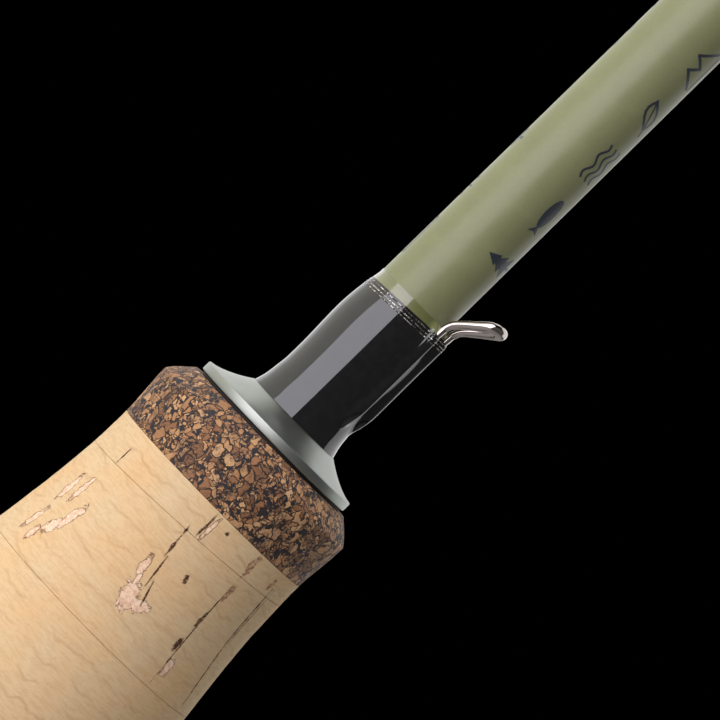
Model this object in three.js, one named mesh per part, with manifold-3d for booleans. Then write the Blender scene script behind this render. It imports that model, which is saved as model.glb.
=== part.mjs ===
// A three-piece small-stream fly rod with its fly reel, in millimetres.
// +Z runs along the rod from the butt to the tip, and the reel, guides and hook keeper are on the -Y side.
// The origin is the middle of the butt cap's flat end. The reel's axle lies along X, with the crank on +X.
import * as THREE from "three";
import { mergeVertices } from "three/addons/utils/BufferGeometryUtils.js";
import Module from "manifold-3d";

const wasm = await Module();
wasm.setup();

// ---------- driving dimensions ----------
const ROD_LENGTH = 1676; // 5 ft 6 in, butt cap to the top of the tip loop
const ROD_SIDES = 24; // facets round everything that is centred on the rod
const REEL_SIDES = 36; // facets round the reel's frame and spool
const HUB_SIDES = 20; // facets round the small pieces on the reel's axle
const GLUE_GAP = 0.12; // radial gap between pieces that are glued on each other
const BUTT_GAP = 0.05; // gap between pieces that stand end to end
const PORT_SIDES = 12; // facets round the reel's lightening holes
const SLIDE_GAP = 0.15; // radial clearance of pieces that slide or turn on each other

// blank: r(z) is a straight taper
const BLANK_R_AT_CHECK = 4.26; // outside radius where the winding check sits
const BLANK_TAPER = 0.00234; // radius lost per millimetre in the butt section
const BLANK_WALL = 0.75;
const BLANK_START = 6;
const FERRULE_1 = 559; // foot of the middle section's sleeve
const FERRULE_2 = 1117; // foot of the tip section's sleeve
const FERRULE_OVERLAP = 38; // how far a section sits over the one below
const SLEEVE_WALL = 0.62;
const TIP_R = 0.75; // outside radius of the blank at the tip
const TIP_SOLID_FROM = 260; // the tip section is solid above this height over its foot
const FERRULE_WRAP_LENGTH = 22;
const FERRULE_WRAP_WALL = 0.4;

// reel seat
const CAP_R = 10.2;
const CAP_LENGTH = 12;
const CAP_FLOOR = 4;
const CAP_EDGE = 1.2;
const CAP_WALL = 1.2;
const BARREL_R = 8.5; // thread crests
const BARREL_WALL = 1.1;
const BARREL_END = 52;
const INSERT_R = 8.25;
const NUT_R = 10.6;
const NUT_SCALLOPS = 20;
const NUT_SCALLOP_DEPTH = 0.5;
const NUT_LENGTH = 6;
const NUT_START = 27;
const HOOD_LENGTH = 12.6;
const HOOD_R = 10.2;
const HOOD_NOSE_R = 8.7; // the raised part of a hood, over the reel foot
const HOOD_NOSE_OFFSET = 4.2;

// reel foot
const FOOT_LENGTH = 62;
const FOOT_WIDTH = 10;
const FOOT_TIP_WIDTH = 6.8;
const FOOT_TIP_THICKNESS = 1.2;
const FOOT_THICKNESS = 2.6;
const FOOT_BLOCK_LENGTH = 27;
const FOOT_ROOT_LENGTH = 3; // from the block's edge to where the foot is thin
const FOOT_CORNER = 1.2;
const FOOT_IN_HOOD = 8.6; // how far each tip reaches into its hood
const FOOT_BLOCK_DROP = 13.3; // distance of the foot's underside from the rod's axis

// grip: cork rings glued up and turned to a full wells shape
const CORK_RINGS = 11;
const CORK_RING_LENGTH = 12.5;
const BURL_LENGTH = 7.9;
const THIN_RING_LENGTH = 3.5;
const GLUE_LINE = 0.04;
const GRIP_CHAMFER = 2.1;
const GRIP_FACE_R = 9.95; // front face inside the chamfer
const GRIP_REAR_FACE_R = 10.9;
const GRIP_LIP_R = 12.03;
const GRIP_WAIST_R = 11.69;
const GRIP_SWELL_R = 14.3;
const GRIP_REAR_WAIST_R = 12.3;
const GRIP_REAR_LIP_R = 12.9;
const GRIP_WAIST_FROM_END = 8.1;
const GRIP_SWELL_RISE = 30.6; // from the front waist to the full swell
const GRIP_SWELL_FLAT = 16;
const GRIP_REAR_WAIST_FROM_START = 26;

// winding check, its gasket, the keeper's thread wrap and the hook keeper
const GASKET_R = 9.2;
const GASKET_THICKNESS = 0.2;
const CHECK_RIM_R = 9.5;
const CHECK_RIM = 1;
const CHECK_NECK_WALL = 1.02; // round the blank, at the trumpet's thin end
const CHECK_TRUMPET = 1.85; // length of the flared part
const CHECK_FLARE_POWER = 0.65; // under 1 the flare is steep at the rim and shallow at the neck
const WRAP_LENGTH = 16.05;
const WRAP_WALL_AT_CHECK = 0.93; // thread and varnish over the blank, where they climb the check's neck
const WRAP_WALL_MIDDLE = 0.36;
const WRAP_SWELL = 0.1; // the varnish is this much fuller towards the front
const WRAP_OVER_LEG = 0.16; // thread and varnish over the keeper's legs
const KEEPER_WIRE_R = 0.56;
const KEEPER_HALF_GAP = 1.2; // half the distance between the two legs' middles
const KEEPER_HEIGHT = 5.2; // loop's top over the blank's surface
const KEEPER_REACH = 3.3; // how far the loop leans forward of its bend
const KEEPER_BEND_PAST_WRAP = 0.5; // where the legs bend up, past the wrap's front end
const KEEPER_LEG_LENGTH = 12;

// guides, placed by their distance from the tip
const STRIPPER_FROM_TIP = 965;
const SNAKES_FROM_TIP = [100, 215, 345, 490, 650, 810];
const STRIPPER_RING_R = 5.1;
const STRIPPER_RING_THICKNESS = 1.7;
const STRIPPER_INSERT_WALL = 1.05;
const STRIPPER_STAND = 9.2;
const STRIPPER_WIRE_R = 0.62;
const STRIPPER_FOOT = 15;
const SNAKE_WIRE_R = 0.45;
const SNAKE_FOOT = 11;
const TIP_TUBE_LENGTH = 12;
const TIP_TUBE_WALL = 0.45;
const TIP_LOOP_R = 2.5;
const TIP_WIRE_R = 0.5;

// fly reel, in its own frame: z along the axle towards the crank, y up to the rod
const FRAME_R = 39;
const FRAME_WALL = 2.2;
const FRAME_BACK = -14;
const FRAME_PLATE = 2.5;
const FRAME_FRONT = 11.5;
const FRAME_RING = 2.6;
const FRAME_POSTS = [60, 120, 180, 240, 300]; // degrees round from the foot
const POST_WIDTH = 7;
const PLATFORM_HEIGHT = 3; // over the frame, where the foot is screwed on
const PLATFORM_WIDTH = 13;
const PLATFORM_MIDDLE = -1.25; // along the axle, half-way between the frame's two faces
const PORT_R = 4.2;
const PORTS = 10;
const FRAME_PORTS_FROM_EDGE = 9.3;
const INNER_PORTS = 6;
const INNER_PORT_R = 3.6;
const PORTS_INSIDE_CRANK = 1;
const SPOOL_GAP = 0.8;
const ARBOR_R = 20;
const ARBOR_WALL = 1.6;
const SPOOL_REAR = -9.4;
const SPOOL_FACE = 11;
const RIM_PROUD = 0.8; // the palming rim over the frame
const RIM_LENGTH = 3.2;
const SPINDLE_R = 3;
const SLEEVE_R = 4.05;
const HOUSING_R = 10;
const HOUSING_WALL = 1.4;
const HOUSING_TOP = -5.2;
const CRANK_FROM_FLANGE = 8;
const KNOB_LENGTH = 19.5;
const KNOB_R = 6.4;
const POST_R = 1.8;
const DRAG_KNOB_R = 10.5;
const DRAG_KNOB_LENGTH = 7.5;
const DRAG_SCREW_R = 2;
const SPOOL_CAP_R = 6.6;
const CLICK_TEETH = 30;
const CLICK_ROOT_R = 17;
const CLICK_TIP_R = 15.9;
const CLICK_THICKNESS = 1.8;
const PAWL_PIVOT_R = 12.4;
const PAWL_REACH = 3.1;
const PAWL_PIN_R = 0.8;
const SCREW_R = 1.4;
const SCREW_HEAD_R = 2.4;
const SCREW_HEAD = 1.1;
const SCREW_SPACING = 16;

// ---------- places worked out from the dimensions ----------
const hoodStart = NUT_START + NUT_LENGTH + 2 * BUTT_GAP;
const hoodEnd = hoodStart + HOOD_LENGTH;
const footStart = hoodEnd - FOOT_IN_HOOD;
const footEnd = footStart + FOOT_LENGTH;
const footMiddle = (footStart + footEnd) / 2;
const gripHoodStart = footEnd - FOOT_IN_HOOD;
const gripStart = gripHoodStart + HOOD_LENGTH + BUTT_GAP;
const corkStart = gripStart + BURL_LENGTH;
const thinStart = corkStart + CORK_RINGS * CORK_RING_LENGTH;
const burlStart = thinStart + THIN_RING_LENGTH;
const gripEnd = burlStart + BURL_LENGTH;
const checkStart = gripEnd + GASKET_THICKNESS + 2 * BUTT_GAP;
const wrapStart = checkStart + CHECK_RIM + CHECK_TRUMPET + BUTT_GAP;
const wrapEnd = wrapStart + WRAP_LENGTH;
const blankR = (z) => BLANK_R_AT_CHECK - BLANK_TAPER * (z - checkStart);
const buttEnd = FERRULE_1 + FERRULE_OVERLAP;
const saddleR = BARREL_R + 2 * SLIDE_GAP;
const spoolFlangeR = FRAME_R - FRAME_WALL - SPOOL_GAP;
const frameInner = FRAME_R - FRAME_WALL;
const plateInside = FRAME_BACK + FRAME_PLATE;
const platformTop = FRAME_R + PLATFORM_HEIGHT;
const rimR = FRAME_R + RIM_PROUD;
const crankR = spoolFlangeR - CRANK_FROM_FLANGE;
const reelDrop = FOOT_BLOCK_DROP + BUTT_GAP + platformTop;
// the reel foot's width, and its underside's distance from the rod's axis, this far from its middle
const footWidthAt = (away) =>
  FOOT_TIP_WIDTH +
  ((FOOT_WIDTH - FOOT_TIP_WIDTH) * (FOOT_LENGTH / 2 - away)) / ((FOOT_LENGTH - FOOT_BLOCK_LENGTH) / 2);
const footDropAt = (away) => {
  const root = FOOT_BLOCK_LENGTH / 2 + FOOT_ROOT_LENGTH;
  const share = (FOOT_LENGTH / 2 - away) / (FOOT_LENGTH / 2 - root);
  return saddleR + FOOT_TIP_THICKNESS + (FOOT_THICKNESS - FOOT_TIP_THICKNESS) * share;
};

// ---------- materials ----------
const material = (color, roughness, metalness = 0, extra = {}) =>
  new THREE.MeshStandardMaterial({ color, roughness, metalness, ...extra });
const cork = material(0xd8b583, 0.85);
const burl = material(0x7a5230, 0.85);
const satin = material(0xb4b8b5, 0.34, 1);
const blackRubber = material(0x141414, 0.7);
const thread = material(0x0e0e0e, 0.12);
const olive = material(0x81875a, 0.42);
const chrome = material(0xd8d4d0, 0.1, 1);
const walnut = material(0x5f3a20, 0.35);
const ceramic = material(0x2a2c30, 0.12);
const gunmetal = material(0x4a4d50, 0.3, 1);
const carbon = material(0x1b1b1d, 0.55);
const brass = material(0xb59048, 0.3, 1);

// ---------- tools ----------
// A closed geometry as a manifold-3d solid whose faces point out.
function solidOf(geometry) {
  const bare = geometry.index ? geometry.toNonIndexed() : geometry.clone();
  for (const name of Object.keys(bare.attributes)) if (name !== "position") bare.deleteAttribute(name);
  const merged = mergeVertices(bare, 1e-4);
  const corners = merged.index.array;
  const kept = [];
  for (let i = 0; i < corners.length; i += 3) {
    const [a, b, c] = [corners[i], corners[i + 1], corners[i + 2]];
    if (a !== b && b !== c && a !== c) kept.push(a, b, c);
  }
  const made = (triangles) =>
    new wasm.Manifold(
      new wasm.Mesh({
        numProp: 3,
        vertProperties: new Float32Array(merged.attributes.position.array),
        triVerts: new Uint32Array(triangles),
      }),
    );
  const first = made(kept);
  if (first.volume() > 0) return first;
  const turned = [];
  for (let i = 0; i < kept.length; i += 3) turned.push(kept[i], kept[i + 2], kept[i + 1]);
  return made(turned);
}

function geometryOf(solid) {
  const { numProp, vertProperties, triVerts } = solid.getMesh();
  const places = new Float32Array((vertProperties.length / numProp) * 3);
  for (let i = 0; i < places.length / 3; i++)
    places.set(vertProperties.subarray(i * numProp, i * numProp + 3), i * 3);
  const geometry = new THREE.BufferGeometry();
  geometry.setAttribute("position", new THREE.BufferAttribute(places, 3));
  geometry.setIndex(new THREE.BufferAttribute(new Uint32Array(triVerts), 1));
  geometry.computeVertexNormals();
  return geometry;
}

// Adds a solid or a geometry to a group as a named mesh.
function add(group, name, shape, look) {
  const solid = shape.isBufferGeometry ? solidOf(shape) : shape;
  const mesh = new THREE.Mesh(geometryOf(solid), look);
  mesh.name = name;
  group.add(mesh);
  return mesh;
}

// A solid turned round +Z from [radius, z] points. A profile that stays off the axis is closed on itself.
function turned(profile, sides = ROD_SIDES) {
  const points = profile.map(([r, z]) => new THREE.Vector2(r, z));
  if (profile[0][0] > 0 || profile.at(-1)[0] > 0) points.push(points[0].clone());
  return solidOf(new THREE.LatheGeometry(points, sides).rotateX(Math.PI / 2));
}

const rod = (r, from, to, sides = ROD_SIDES) => turned([[0, from], [r, from], [r, to], [0, to]], sides);
const ring = (inside, outside, from, to, sides = ROD_SIDES) =>
  turned([[outside, from], [outside, to], [inside, to], [inside, from]], sides);

function block(width, depth, height, x, y, z) {
  return solidOf(new THREE.BoxGeometry(width, depth, height).translate(x, y, z));
}

// A round wire along a smooth curve through points.
function wire(points, radius, steps, sides = 8) {
  const path = new THREE.CatmullRomCurve3(points.map((p) => new THREE.Vector3(...p)), false, "centripetal");
  const section = new THREE.Shape();
  for (let i = 0; i < sides; i++) {
    const angle = (2 * Math.PI * i) / sides;
    const place = [radius * Math.cos(angle), radius * Math.sin(angle)];
    if (i) section.lineTo(...place);
    else section.moveTo(...place);
  }
  section.closePath();
  return solidOf(new THREE.ExtrudeGeometry(section, { steps, extrudePath: path, bevelEnabled: false }));
}

// A round plate with scalloped edge, for knurled nuts and knobs.
function scalloped(outside, inside, depth, count, from, to) {
  const shape = new THREE.Shape();
  const perScallop = 3;
  for (let i = 0; i < count * perScallop; i++) {
    const angle = (2 * Math.PI * i) / (count * perScallop);
    const r = outside - (depth * (1 - Math.cos(count * angle))) / 2;
    const place = [r * Math.cos(angle), r * Math.sin(angle)];
    if (i) shape.lineTo(...place);
    else shape.moveTo(...place);
  }
  shape.closePath();
  const plate = solidOf(
    new THREE.ExtrudeGeometry(shape, { depth: to - from, bevelEnabled: false }).translate(0, 0, from),
  );
  return inside > 0 ? plate.subtract(rod(inside, from - 1, to + 1)) : plate;
}

// ---------- the rod's sections ----------
function sectionBlank({ start, end, rStart, rEnd, bore, wall, solidFrom }) {
  // bore is [radius, radius] of the socket at its mouth and at its end, or null for the butt section
  const slope = (rEnd - rStart) / (end - start);
  const outer = (z) => rStart + slope * (z - start);
  if (solidFrom) {
    const top = start + solidFrom;
    return turned([
      [outer(start), start],
      [rEnd, end],
      [0, end],
      [0, top],
      [Math.max(outer(top) - wall, 0.3), top],
      [bore[1] - 0.15, start + FERRULE_OVERLAP + 4],
      [bore[1], start + FERRULE_OVERLAP + 1],
      [bore[0], start],
      [outer(start), start],
    ]);
  }
  const inside = bore
    ? [
        [bore[1] - 0.15, start + FERRULE_OVERLAP + 4],
        [bore[1], start + FERRULE_OVERLAP + 1], [bore[0], start],
      ]
    : [[outer(start) - wall, start]];
  return turned([[outer(start), start], [outer(end), end], [outer(end) - wall, end], ...inside]);
}

function buildBlanks(butt, mid, tip) {
  add(butt, "butt_blank", sectionBlank({
    start: BLANK_START, end: buttEnd, rStart: blankR(BLANK_START), rEnd: blankR(buttEnd), wall: BLANK_WALL,
  }), olive);
  const midFoot = blankR(FERRULE_1) + SLIDE_GAP;
  const midEnd = FERRULE_2 + FERRULE_OVERLAP;
  const midTopR = 0.58 * midFoot;
  const midOuter = midFoot + SLEEVE_WALL;
  const midR = (z) => midOuter - ((midOuter - midTopR) * (z - FERRULE_1)) / (midEnd - FERRULE_1);
  add(mid, "mid_blank", sectionBlank({
    start: FERRULE_1, end: midEnd, rStart: midR(FERRULE_1), rEnd: midTopR, wall: BLANK_WALL - 0.1,
    bore: [midFoot, blankR(buttEnd) + SLIDE_GAP],
  }), olive);
  const tipFoot = midR(FERRULE_2) + SLIDE_GAP;
  const tipEnd = ROD_LENGTH - TIP_WIRE_R - 1.2;
  const tipOuter = tipFoot + SLEEVE_WALL;
  const tipR = (z) => tipOuter - ((tipOuter - TIP_R) * (z - FERRULE_2)) / (tipEnd - FERRULE_2);
  add(tip, "tip_blank", sectionBlank({
    start: FERRULE_2, end: tipEnd, rStart: tipR(FERRULE_2), rEnd: TIP_R, wall: BLANK_WALL,
    bore: [tipFoot, midR(midEnd) + SLIDE_GAP], solidFrom: TIP_SOLID_FROM,
  }), olive);
  const sleeveWrap = (r, start) => {
    const [a, b] = [start + 1, start + 1 + FERRULE_WRAP_LENGTH];
    const [ra, rb] = [r(a) + GLUE_GAP, r(b) + GLUE_GAP];
    return turned([[ra, a], [ra + FERRULE_WRAP_WALL, a + 0.8], [rb + FERRULE_WRAP_WALL, b - 0.8], [rb, b]]);
  };
  add(mid, "mid_ferrule_wrap", sleeveWrap(midR, FERRULE_1), thread);
  add(tip, "tip_ferrule_wrap", sleeveWrap(tipR, FERRULE_2), thread);
  return { midR, tipR, tipEnd };
}

// ---------- reel seat ----------
// A hood that holds one end of the reel foot. mouth is +1 if the foot enters from above and -1 from below.
function hood(start, mouth) {
  const end = start + HOOD_LENGTH;
  const edge = 1.1;
  const shell = turned([
    [0, start], [HOOD_R - edge, start], [HOOD_R, start + edge],
    [HOOD_R, end - edge], [HOOD_R - edge, end], [0, end],
  ]).add(
    turned([
      [0, start], [HOOD_NOSE_R - edge, start], [HOOD_NOSE_R, start + edge], [HOOD_NOSE_R, end - edge],
      [HOOD_NOSE_R - edge, end], [0, end],
    ]).translate([0, -HOOD_NOSE_OFFSET, 0]),
  );
  const pocketWidth = footWidthAt(FOOT_LENGTH / 2 - FOOT_IN_HOOD) + 4 * SLIDE_GAP;
  const pocketDrop = footDropAt(FOOT_LENGTH / 2 - FOOT_IN_HOOD) + 2 * SLIDE_GAP;
  const depth = FOOT_IN_HOOD + 2;
  const middle = mouth > 0 ? end - depth / 2 + 0.5 : start + depth / 2 - 0.5;
  return shell
    .subtract(rod(BARREL_R + SLIDE_GAP, start - 1, end + 1))
    .subtract(block(pocketWidth, pocketDrop, depth + 1, 0, -pocketDrop / 2, middle));
}

function buildSeat(butt, slidingHood, lockNut) {
  add(butt, "butt_cap", turned([
    [0, 0], [CAP_R - CAP_EDGE, 0], [CAP_R, CAP_EDGE], [CAP_R, CAP_LENGTH - 0.5], [CAP_R - 0.5, CAP_LENGTH],
    [BARREL_R + SLIDE_GAP, CAP_LENGTH], [BARREL_R + SLIDE_GAP, CAP_FLOOR], [0, CAP_FLOOR],
  ]), satin);
  const tubeStart = CAP_FLOOR + BUTT_GAP;
  add(butt, "seat_barrel", ring(BARREL_R - BARREL_WALL, BARREL_R, tubeStart, BARREL_END), satin);
  const core = BARREL_R - BARREL_WALL - GLUE_GAP;
  const bore = blankR(BLANK_START) + GLUE_GAP;
  add(butt, "seat_insert", turned([
    [core, tubeStart], [core, BARREL_END + BUTT_GAP], [INSERT_R, BARREL_END + BUTT_GAP],
    [INSERT_R, gripStart - BUTT_GAP], [bore, gripStart - BUTT_GAP], [bore, tubeStart],
  ]), walnut);
  add(butt, "grip_hood", hood(gripHoodStart, -1), satin);
  add(slidingHood, "sliding_hood", hood(hoodStart, 1), satin);
  add(lockNut, "lock_nut", scalloped(
    NUT_R, BARREL_R + SLIDE_GAP, NUT_SCALLOP_DEPTH, NUT_SCALLOPS, NUT_START, NUT_START + NUT_LENGTH,
  ), satin);
}

// ---------- grip ----------
// Outside radius of the turned grip: level or curved stretches that meet smoothly at these places.
const gripStations = [
  [gripStart + GRIP_CHAMFER, GRIP_REAR_LIP_R],
  [gripStart + GRIP_REAR_WAIST_FROM_START, GRIP_REAR_WAIST_R],
  [gripEnd - GRIP_WAIST_FROM_END - GRIP_SWELL_RISE - GRIP_SWELL_FLAT, GRIP_SWELL_R],
  [gripEnd - GRIP_WAIST_FROM_END - GRIP_SWELL_RISE, GRIP_SWELL_R],
  [gripEnd - GRIP_WAIST_FROM_END, GRIP_WAIST_R],
  [gripEnd - GRIP_CHAMFER, GRIP_LIP_R],
];
function gripR(z) {
  const after = Math.max(1, gripStations.findIndex(([place]) => place >= z));
  const [[from, rFrom], [to, rTo]] = [gripStations[after - 1], gripStations[after]];
  const share = THREE.MathUtils.clamp((z - from) / (to - from), 0, 1);
  return rFrom + ((rTo - rFrom) * (1 - Math.cos(Math.PI * share))) / 2;
}

function gripRing(from, to) {
  const bore = blankR(from) + GLUE_GAP;
  return turned([[gripR(from), from], [gripR(to), to], [bore, to], [bore, from]]);
}

function buildGrip(butt) {
  const rearBore = blankR(gripStart) + GLUE_GAP;
  add(butt, "grip_rear_burl", turned([
    [GRIP_REAR_FACE_R, gripStart], [GRIP_REAR_LIP_R, gripStart + GRIP_CHAMFER],
    [gripR(corkStart), corkStart - GLUE_LINE], [rearBore, corkStart - GLUE_LINE], [rearBore, gripStart],
  ]), burl);
  for (let i = 0; i < CORK_RINGS; i++) {
    const from = corkStart + i * CORK_RING_LENGTH;
    const to = from + CORK_RING_LENGTH - GLUE_LINE;
    add(butt, `cork_ring_${String(i + 1).padStart(2, "0")}`, gripRing(from, to), cork);
  }
  add(butt, "cork_ring_thin", gripRing(thinStart, burlStart - GLUE_LINE), cork);
  const bore = blankR(burlStart) + GLUE_GAP;
  const lip = gripEnd - GRIP_CHAMFER;
  add(butt, "grip_front_burl", turned([
    [gripR(burlStart), burlStart], [gripR((burlStart + lip) / 2), (burlStart + lip) / 2], [GRIP_LIP_R, lip],
    [GRIP_FACE_R, gripEnd], [bore, gripEnd], [bore, burlStart],
  ]), burl);
}

// ---------- winding check, wrap and hook keeper ----------
// The keeper's wire as [x, y, z] places: two legs along the blank, joined by the loop that leans forward.
function keeperPlaces() {
  const bend = wrapEnd + KEEPER_BEND_PAST_WRAP;
  const foot = bend - KEEPER_LEG_LENGTH;
  const lie = blankR(foot) + GLUE_GAP + KEEPER_WIRE_R;
  const top = blankR(bend) + KEEPER_HEIGHT - KEEPER_WIRE_R;
  const leg = [
    [1, lie, foot],
    [1, lie, (foot + bend) / 2],
    [1, lie, bend - 0.3],
    [1, lie + 0.12 * (top - lie), bend + 0.2 * KEEPER_REACH],
    [1, (lie + top) / 2, bend + 0.58 * KEEPER_REACH],
    [0.92, lie + 0.82 * (top - lie), bend + 0.88 * KEEPER_REACH],
    [0.5, lie + 0.97 * (top - lie), bend + 0.98 * KEEPER_REACH],
  ];
  const place = (side) => ([share, drop, z]) => [side * share * KEEPER_HALF_GAP, -drop, z];
  const tip = [0, -top, bend + KEEPER_REACH];
  return { legs: [leg.map(place(1)), leg.map(place(-1))], tip };
}

function keeperSolid(extra = 0) {
  const { legs, tip } = keeperPlaces();
  return wire([...legs[0], tip, ...legs[1].toReversed()], KEEPER_WIRE_R + extra, 40);
}

function buildFront(butt) {
  const bore = blankR(gripEnd) + GLUE_GAP;
  const gasketStart = gripEnd + BUTT_GAP;
  add(butt, "check_gasket", ring(bore, GASKET_R, gasketStart, gasketStart + GASKET_THICKNESS), blackRubber);
  const rimEnd = checkStart + CHECK_RIM;
  const neck = bore + CHECK_NECK_WALL;
  const edge = 0.12;
  const steps = 4;
  const flare = [];
  for (let i = 0; i <= steps; i++) {
    const along = (i / steps) ** 1.5;
    const r = CHECK_RIM_R - (CHECK_RIM_R - neck) * along ** CHECK_FLARE_POWER;
    flare.push([r, rimEnd + CHECK_TRUMPET * along]);
  }
  add(butt, "winding_check", turned([
    [CHECK_RIM_R - edge, checkStart], [CHECK_RIM_R, checkStart + edge], ...flare,
    [bore, rimEnd + CHECK_TRUMPET], [bore, checkStart],
  ]), satin);
  const wrapBore = blankR(wrapStart) + GLUE_GAP;
  const at = (share) => wrapStart + share * WRAP_LENGTH;
  const atCheck = wrapBore + WRAP_WALL_AT_CHECK;
  const middle = wrapBore + WRAP_WALL_MIDDLE;
  const feather = wrapBore + 0.06;
  const coat = turned([
    [atCheck, wrapStart], [(atCheck + middle) / 2, at(0.09)], [middle, at(0.22)], [middle, at(0.36)],
    [middle + WRAP_SWELL, at(0.61)], [middle, at(0.76)],
    [(middle + feather) / 2, at(0.92)], [feather, wrapEnd],
    [wrapBore, wrapEnd], [wrapBore, wrapStart],
  ]);
  // the coat rides over each leg of the keeper, from behind its end to just short of the bend
  const humps = keeperPlaces().legs.map(([[x, y, foot]]) =>
    wire(
      [[x, y + KEEPER_WIRE_R, foot - 2], [x, y, foot], [x, y, wrapEnd - 0.5]],
      KEEPER_WIRE_R + WRAP_OVER_LEG, 4,
    ),
  );
  const covered = humps.reduce((all, one) => all.add(one), coat);
  const wrap = covered.subtract(rod(wrapBore, wrapStart - 1, wrapEnd + 1));
  add(butt, "keeper_wrap", wrap.subtract(keeperSolid(GLUE_GAP / 2)), thread);
  add(butt, "hook_keeper", keeperSolid(), chrome);
}

// ---------- guides ----------
function buildGuides(mid, tip, { midR, tipR, tipEnd }) {
  const outsideR = (z) => (z > FERRULE_2 ? tipR(z) : midR(z));
  const groupAt = (z) => (z > FERRULE_2 ? tip : mid);

  const z = ROD_LENGTH - STRIPPER_FROM_TIP;
  const lie = outsideR(z) + GLUE_GAP + STRIPPER_WIRE_R + 0.1;
  const centre = -(outsideR(z) + STRIPPER_STAND);
  const half = STRIPPER_RING_THICKNESS / 2;
  const edge = STRIPPER_RING_R - STRIPPER_WIRE_R * 0.5;
  let frame = ring(STRIPPER_RING_R - 0.55, STRIPPER_RING_R, -half, half).translate([0, centre, z]);
  for (const side of [-1, 1]) {
    frame = frame.add(wire([
      [0, -lie, z - STRIPPER_FOOT], [0, -lie, z - STRIPPER_FOOT * 0.5], [side * 1.6, -lie - 1.2, z - 4.6],
      [side * edge * 0.9, centre + 2.4, z - 1.1], [side * edge, centre + 0.4, z],
    ], STRIPPER_WIRE_R, 9, 6));
  }
  frame = frame.add(wire([
    [0, -lie, z + STRIPPER_FOOT], [0, -lie, z + STRIPPER_FOOT * 0.5], [0, -lie - 1.1, z + 4.2],
    [0, centre + edge + 0.2, z + 0.4],
  ], STRIPPER_WIRE_R, 8, 6));
  const seat = STRIPPER_RING_R - 0.55;
  add(groupAt(z), "stripping_guide_frame", frame.subtract(
    rod(seat, -half - 1, half + 1).translate([0, centre, z]),
  ), chrome);
  const wall = seat - GLUE_GAP;
  add(groupAt(z), "stripping_guide_ring", turned([
    [wall, -half], [wall, half], [wall - STRIPPER_INSERT_WALL * 0.4, half + 0.2],
    [wall - STRIPPER_INSERT_WALL, half * 0.4], [wall - STRIPPER_INSERT_WALL, -half * 0.4],
    [wall - STRIPPER_INSERT_WALL * 0.4, -half - 0.2],
  ]).translate([0, centre, z]), ceramic);

  SNAKES_FROM_TIP.toReversed().forEach((fromTip, i) => {
    const at = ROD_LENGTH - fromTip;
    const onBlank = outsideR(at - SNAKE_FOOT) + GLUE_GAP + SNAKE_WIRE_R;
    const scale = 1 - 0.07 * i; // guides get smaller towards the tip
    const [wide, high, foot] = [2.1 * scale, 4.7 * scale, SNAKE_FOOT * (1 - 0.05 * i)];
    const half = [
      [0, onBlank, foot], [0, onBlank + 0.02, foot * 0.58],
      [wide * 0.62, onBlank + high * 0.12, foot * 0.4],
      [wide, onBlank + high * 0.48, foot * 0.24], [wide * 0.6, onBlank + high * 0.88, foot * 0.1],
    ];
    const path = [
      ...half.map(([x, drop, along]) => [x, -drop, at - along]),
      [0, -(onBlank + high), at],
      ...half.toReversed().map(([x, drop, along]) => [-x, -drop, at + along]),
    ];
    add(groupAt(at), `snake_guide_${i + 1}`, wire(path, SNAKE_WIRE_R, 22, 6), chrome);
  });

  const tubeEnd = tipEnd + 0.4;
  const tubeR = tipR(tubeEnd - TIP_TUBE_LENGTH) + GLUE_GAP + TIP_TUBE_WALL;
  const tube = rod(tubeR, tubeEnd - TIP_TUBE_LENGTH, ROD_LENGTH - TIP_WIRE_R)
    .subtract(turned([
      [0, tubeEnd - TIP_TUBE_LENGTH - 1], [tubeR - TIP_TUBE_WALL, tubeEnd - TIP_TUBE_LENGTH - 1],
      [tubeR - TIP_TUBE_WALL, tubeEnd - 0.3], [0, tubeEnd - 0.3],
    ]));
  const section = [];
  for (let k = 0; k < 8; k++) {
    const angle = (2 * Math.PI * k) / 8;
    section.push([TIP_LOOP_R + TIP_WIRE_R * Math.cos(angle), TIP_WIRE_R * Math.sin(angle)]);
  }
  const loop = turned(section, 16).translate([0, -TIP_LOOP_R - 0.4, ROD_LENGTH - TIP_WIRE_R]);
  add(tip, "tip_top", tube.add(loop), chrome);
}

// ---------- fly reel ----------
function reelScrews() {
  // two screws from inside the frame up into the foot, in the reel's own frame
  const inside = frameInner + 0.1;
  return [-1, 1].map((side) =>
    turned([
      [0, inside], [SCREW_HEAD_R, inside],
      [SCREW_HEAD_R, inside + SCREW_HEAD * 0.4], [SCREW_R, inside + SCREW_HEAD],
      [SCREW_R, platformTop + 2.6], [0, platformTop + 2.6],
    ], 16)
      .rotate([-90, 0, 0])
      .translate([(side * SCREW_SPACING) / 2, 0, PLATFORM_MIDDLE]),
  );
}

function screwHoles() {
  const inside = frameInner - 2;
  return [-1, 1].map((side) =>
    turned([
      [0, inside], [SCREW_HEAD_R + SLIDE_GAP, inside],
      [SCREW_HEAD_R + SLIDE_GAP, frameInner + 0.1 + SCREW_HEAD * 0.6],
      [SCREW_R + SLIDE_GAP, frameInner + 0.3 + SCREW_HEAD * 1.2], [SCREW_R + SLIDE_GAP, platformTop + 2.9],
      [0, platformTop + 2.9],
    ], 16)
      .rotate([-90, 0, 0])
      .translate([(side * SCREW_SPACING) / 2, 0, PLATFORM_MIDDLE]),
  );
}

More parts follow.
